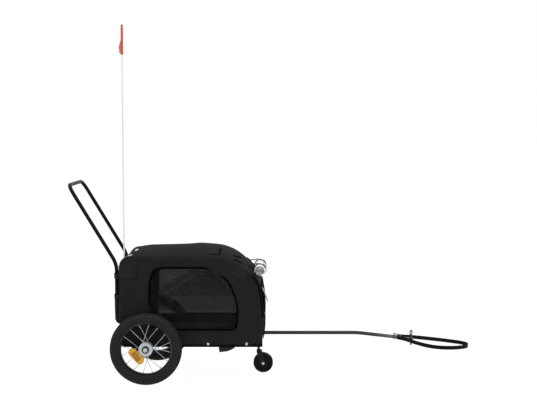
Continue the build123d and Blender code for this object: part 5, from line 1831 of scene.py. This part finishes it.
# The lanyard: two strands from the bar to the pin, a loop round the bar and an eye round the pin.
pin_side = place(1150.6, 38.9, 156.6)
cord_start = pin_side - BAR_HEADING * 0.084
cord_middle = []
for t in spread(0, 1, 1 / 42):
    cord_middle.append(cord_start.lerp(pin_side, t) + Vector((0, 0, -0.0022 * math.sin(math.pi * t))))
strands = []
for phase in (0.0, math.pi):
    wound = [round_bar(p, 0.00095, 0.75 * i + phase) for i, p in enumerate(cord_middle)]
    strands.append(sweep("strand", wound, round_profile(2.1, 8), WEBBING))
loop_middle = cord_start + BAR_HEADING * 0.006
loop_middle.z = BAR_END[2] / 1000
loop_line = round_points(loop_middle, 0.0098, 32)
for k in (7, 8, 9):
    loop_line[k] = round_bar(loop_middle, 0.0098 + 0.0036, 2 * math.pi * k / 32)
strands.append(sweep("loop", loop_line, round_profile(2.6, 8), WEBBING, up=BAR_HEADING, ring=True))
eye = []
for a in spread(0, 2 * math.pi - 0.3, 0.3):
    turned = (BAR_HEADING * math.cos(a) + BAR_ACROSS * math.sin(a)) * 0.0052
    eye.append(pin_side + turned + BAR_HEADING * 0.0045)
strands.append(sweep("eye", eye, round_profile(2.2, 8), WEBBING, ring=True))
fit(join_pieces("pin_lanyard_cord", strands), "pin_lanyard")

# %% [markdown]
# The pin is pulled by a plastic-covered ring, and a thin ring closes the bar's open end. The storage
# strap's end is a flat cut of webbing that curls a little.

# %% Pin's pull ring, bar end ring and storage strap
low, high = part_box("hitch_pin")
pull_line = round_points(Vector(((low.x + high.x) / 2, (low.y + high.y) / 2, high.z - 0.0123)), 0.0109, 32)
pull_ring = sweep(
    "pin_pull_ring_sleeve", pull_line, round_profile(5.0, 12), BLACK_PLASTIC, up=BAR_HEADING, ring=True
)
END_RING = [(8.1, -1.4), (8.4, -1.4), (8.5, -0.6), (8.2, 0.4), (5.4, 0.6), (5.4, -0.2), (8.1, -0.2)]
end_ring = lathe("bar_end_ring", END_RING, bar_end, BAR_HEADING, GREY_TUBE)
for piece in (pull_ring, end_ring):
    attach(piece, "trailer")

STRAP_END = [(305, 156.9), (380, 156.9), (373, 147.5), (361, 140.2), (343, 133.0), (307, 127.6)]
STRAP_ROW = [(307, 131), (325, 133), (343, 136), (360, 143), (370, 150)]


def strap_curl(x, z):
    """How far the folded end of the storage strap curls out of flat."""
    return 2.2 * (1 - (z - 127) / 30) * math.sin((x - 300) / 26)


strap_cut = flat_cut(softened_loop(STRAP_END, 3.0), grid=8.0)
strap_end = side_sheet("storage_strap_end", strap_cut, 190.4, -1, GREY_WEBBING, strap_curl, 2.4)
fit(strap_end, "storage_strap")
strap_row = [place(x, -192.8 - strap_curl(x, z), z) for x, z in STRAP_ROW]
stitches("storage_strap_stitches", [strap_row], "trailer", THREAD, 3.4, 2.6, 0.8)
print("hitch webbing and storage strap made")

# %% [markdown]
# ## The floor mat
# The dog lies on a quilted mat: two layers of cloth with a thin filling, stitched together in
# diamonds. Each stitched line pulls the cloth down and the filling swells between the lines. The
# puff of each diamond is the product of two sine waves, so the top is a height over a grid, closed
# by a rounded edge and a flat underside.

# %% Quilted mat
low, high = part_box("floor_mat")
MAT_X, MAT_Y = 500 * (low.x + high.x) - 1000 * AXLE_X, 500 * (low.y + high.y)
MAT_HALF = (500 * (high.x - low.x), 500 * (high.y - low.y))
MAT_LOW, MAT_THICK, QUILT = 1000 * low.z, 1000 * (high.z - low.z), 62.0


def mat_row(share):
    """The mat's outline shrunk towards its middle: share 1 is the edge."""
    corners = [(MAT_HALF[0] * a, MAT_HALF[1] * b) for a, b in ((-1, -1), (1, -1), (1, 1), (-1, 1))]
    return [Vector(p) * share for p in softened_loop(corners, 20.0, 8.0)]


def mat_top(x, y):
    """The height of the quilted top over the floor board."""
    rim = min(MAT_HALF[0] - abs(x), MAT_HALF[1] - abs(y))
    puff = abs(math.sin(math.pi * (x + y) / QUILT) * math.sin(math.pi * (x - y) / QUILT)) ** 0.45
    edge = min(1.0, max(0.0, rim / 9.0)) ** 0.5
    slow = 0.5 * noise.noise(Vector((x / 70, y / 60, 4.4)))
    return MAT_THICK * (0.42 + 0.16 * edge + 0.38 * puff * edge) + slow * edge


mat_points, mat_faces, mat_uvs = [], [], []
mat_shares = [1.0, 0.99, 0.97] + spread(0.945, 0.012, 0.021)
rim_count = len(mat_row(1.0))
bottom = [(1.0, 0.30), (0.985, 0.06), (0.96, 0.0), (0.5, 0.0), (0.012, 0.0)]
for share, level in [(share, None) for share in reversed(mat_shares)] + bottom:
    for p in mat_row(share):
        height = mat_top(p.x, p.y) if level is None else MAT_THICK * level
        mat_points.append(place(MAT_X + p.x, MAT_Y + p.y, MAT_LOW + height))
        mat_uvs.append((p.x / 1000, p.y / 1000))
last = len(mat_points) - rim_count
for r in range(0, last, rim_count):
    for k in range(rim_count):
        m = (k + 1) % rim_count
        mat_faces.append((r + k, r + m, r + rim_count + m, r + rim_count + k))
mat_faces.append(tuple(range(rim_count)))
mat_faces.append(tuple(last + k for k in reversed(range(rim_count))))
mat = face_out(make_piece("quilted_floor_mat", mat_points, mat_faces, MAT_CLOTH, mat_uvs))
fit(mat, "floor_mat")

# %% [markdown]
# The quilting thread lies in the valleys between the diamonds, and a round tape binds the mat's edge.

# %% Quilting thread and binding
quilt_rows = []
for lean in (1, -1):
    for k in range(-9, 10):
        run = []
        for t in spread(-MAT_HALF[0] - MAT_HALF[1], MAT_HALF[0] + MAT_HALF[1], 6.0):
            x, y = (t + k * QUILT) / 2, lean * (t - k * QUILT) / 2
            if abs(x) < MAT_HALF[0] - 10 and abs(y) < MAT_HALF[1] - 10:
                run.append(place(MAT_X + x, MAT_Y + y, MAT_LOW + mat_top(x, y) + 0.1))
        if len(run) > 2:
            quilt_rows.append(run)
stitches("mat_stitches", quilt_rows, "trailer", THREAD, pitch=4.4, length=3.2, width=0.9)
mat_edge = [place(MAT_X + p.x, MAT_Y + p.y, MAT_LOW + 5.4) for p in mat_row(0.998)]
mat_binding = sweep("mat_binding", mat_edge, round_profile(7.0, 12), HEM_TAPE, ring=True)
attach(mat_binding, "trailer")
print("mat points:", len(mat_points), "quilting lines:", len(quilt_rows))

# %% [markdown]
# ## Knobs and bolts
# The handle clamps close with a star knob each, and the drawbar's two brackets with a hexagon bolt
# on a washer. All are turned on the lathe; six segments make a hexagon.

# %% Clamp knobs and bracket bolts
HEXAGON = [(0.0, 0.0), (7.4, 0.0), (7.4, 3.6), (6.6, 4.4), (0.0, 4.4)]
KNOB = [(0.0, -0.6), (5.0, -0.6), (5.0, 2.0), (9.0, 2.6), (9.6, 4.0), (9.6, 7.0), (8.4, 8.4), (0.0, 9.0)]
WASHER = [(0.0, 0.0), (8.8, 0.0), (8.8, 1.0), (8.4, 1.3), (0.0, 1.3)]
DOWN = (0, 0, -1)
small_parts = []
for side in SIDES.values():
    for z in (366.0, 456.0):
        spot = place(-123.5, side * 190.0, z)
        small_parts.append(lathe("knob", KNOB, spot, (0, side, 0), BLACK_PLASTIC, segments=24))
for x in (185.0, 430.0):
    small_parts.append(lathe("washer", WASHER, place(x, 175.0, 131.2), DOWN, STEEL, segments=24))
    small_parts.append(lathe("bolt", HEXAGON, place(x, 175.0, 130.2), DOWN, STEEL, segments=6))
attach(join_pieces("clamp_knobs_and_bolts", small_parts), "trailer")
print("small parts:", len(small_parts))
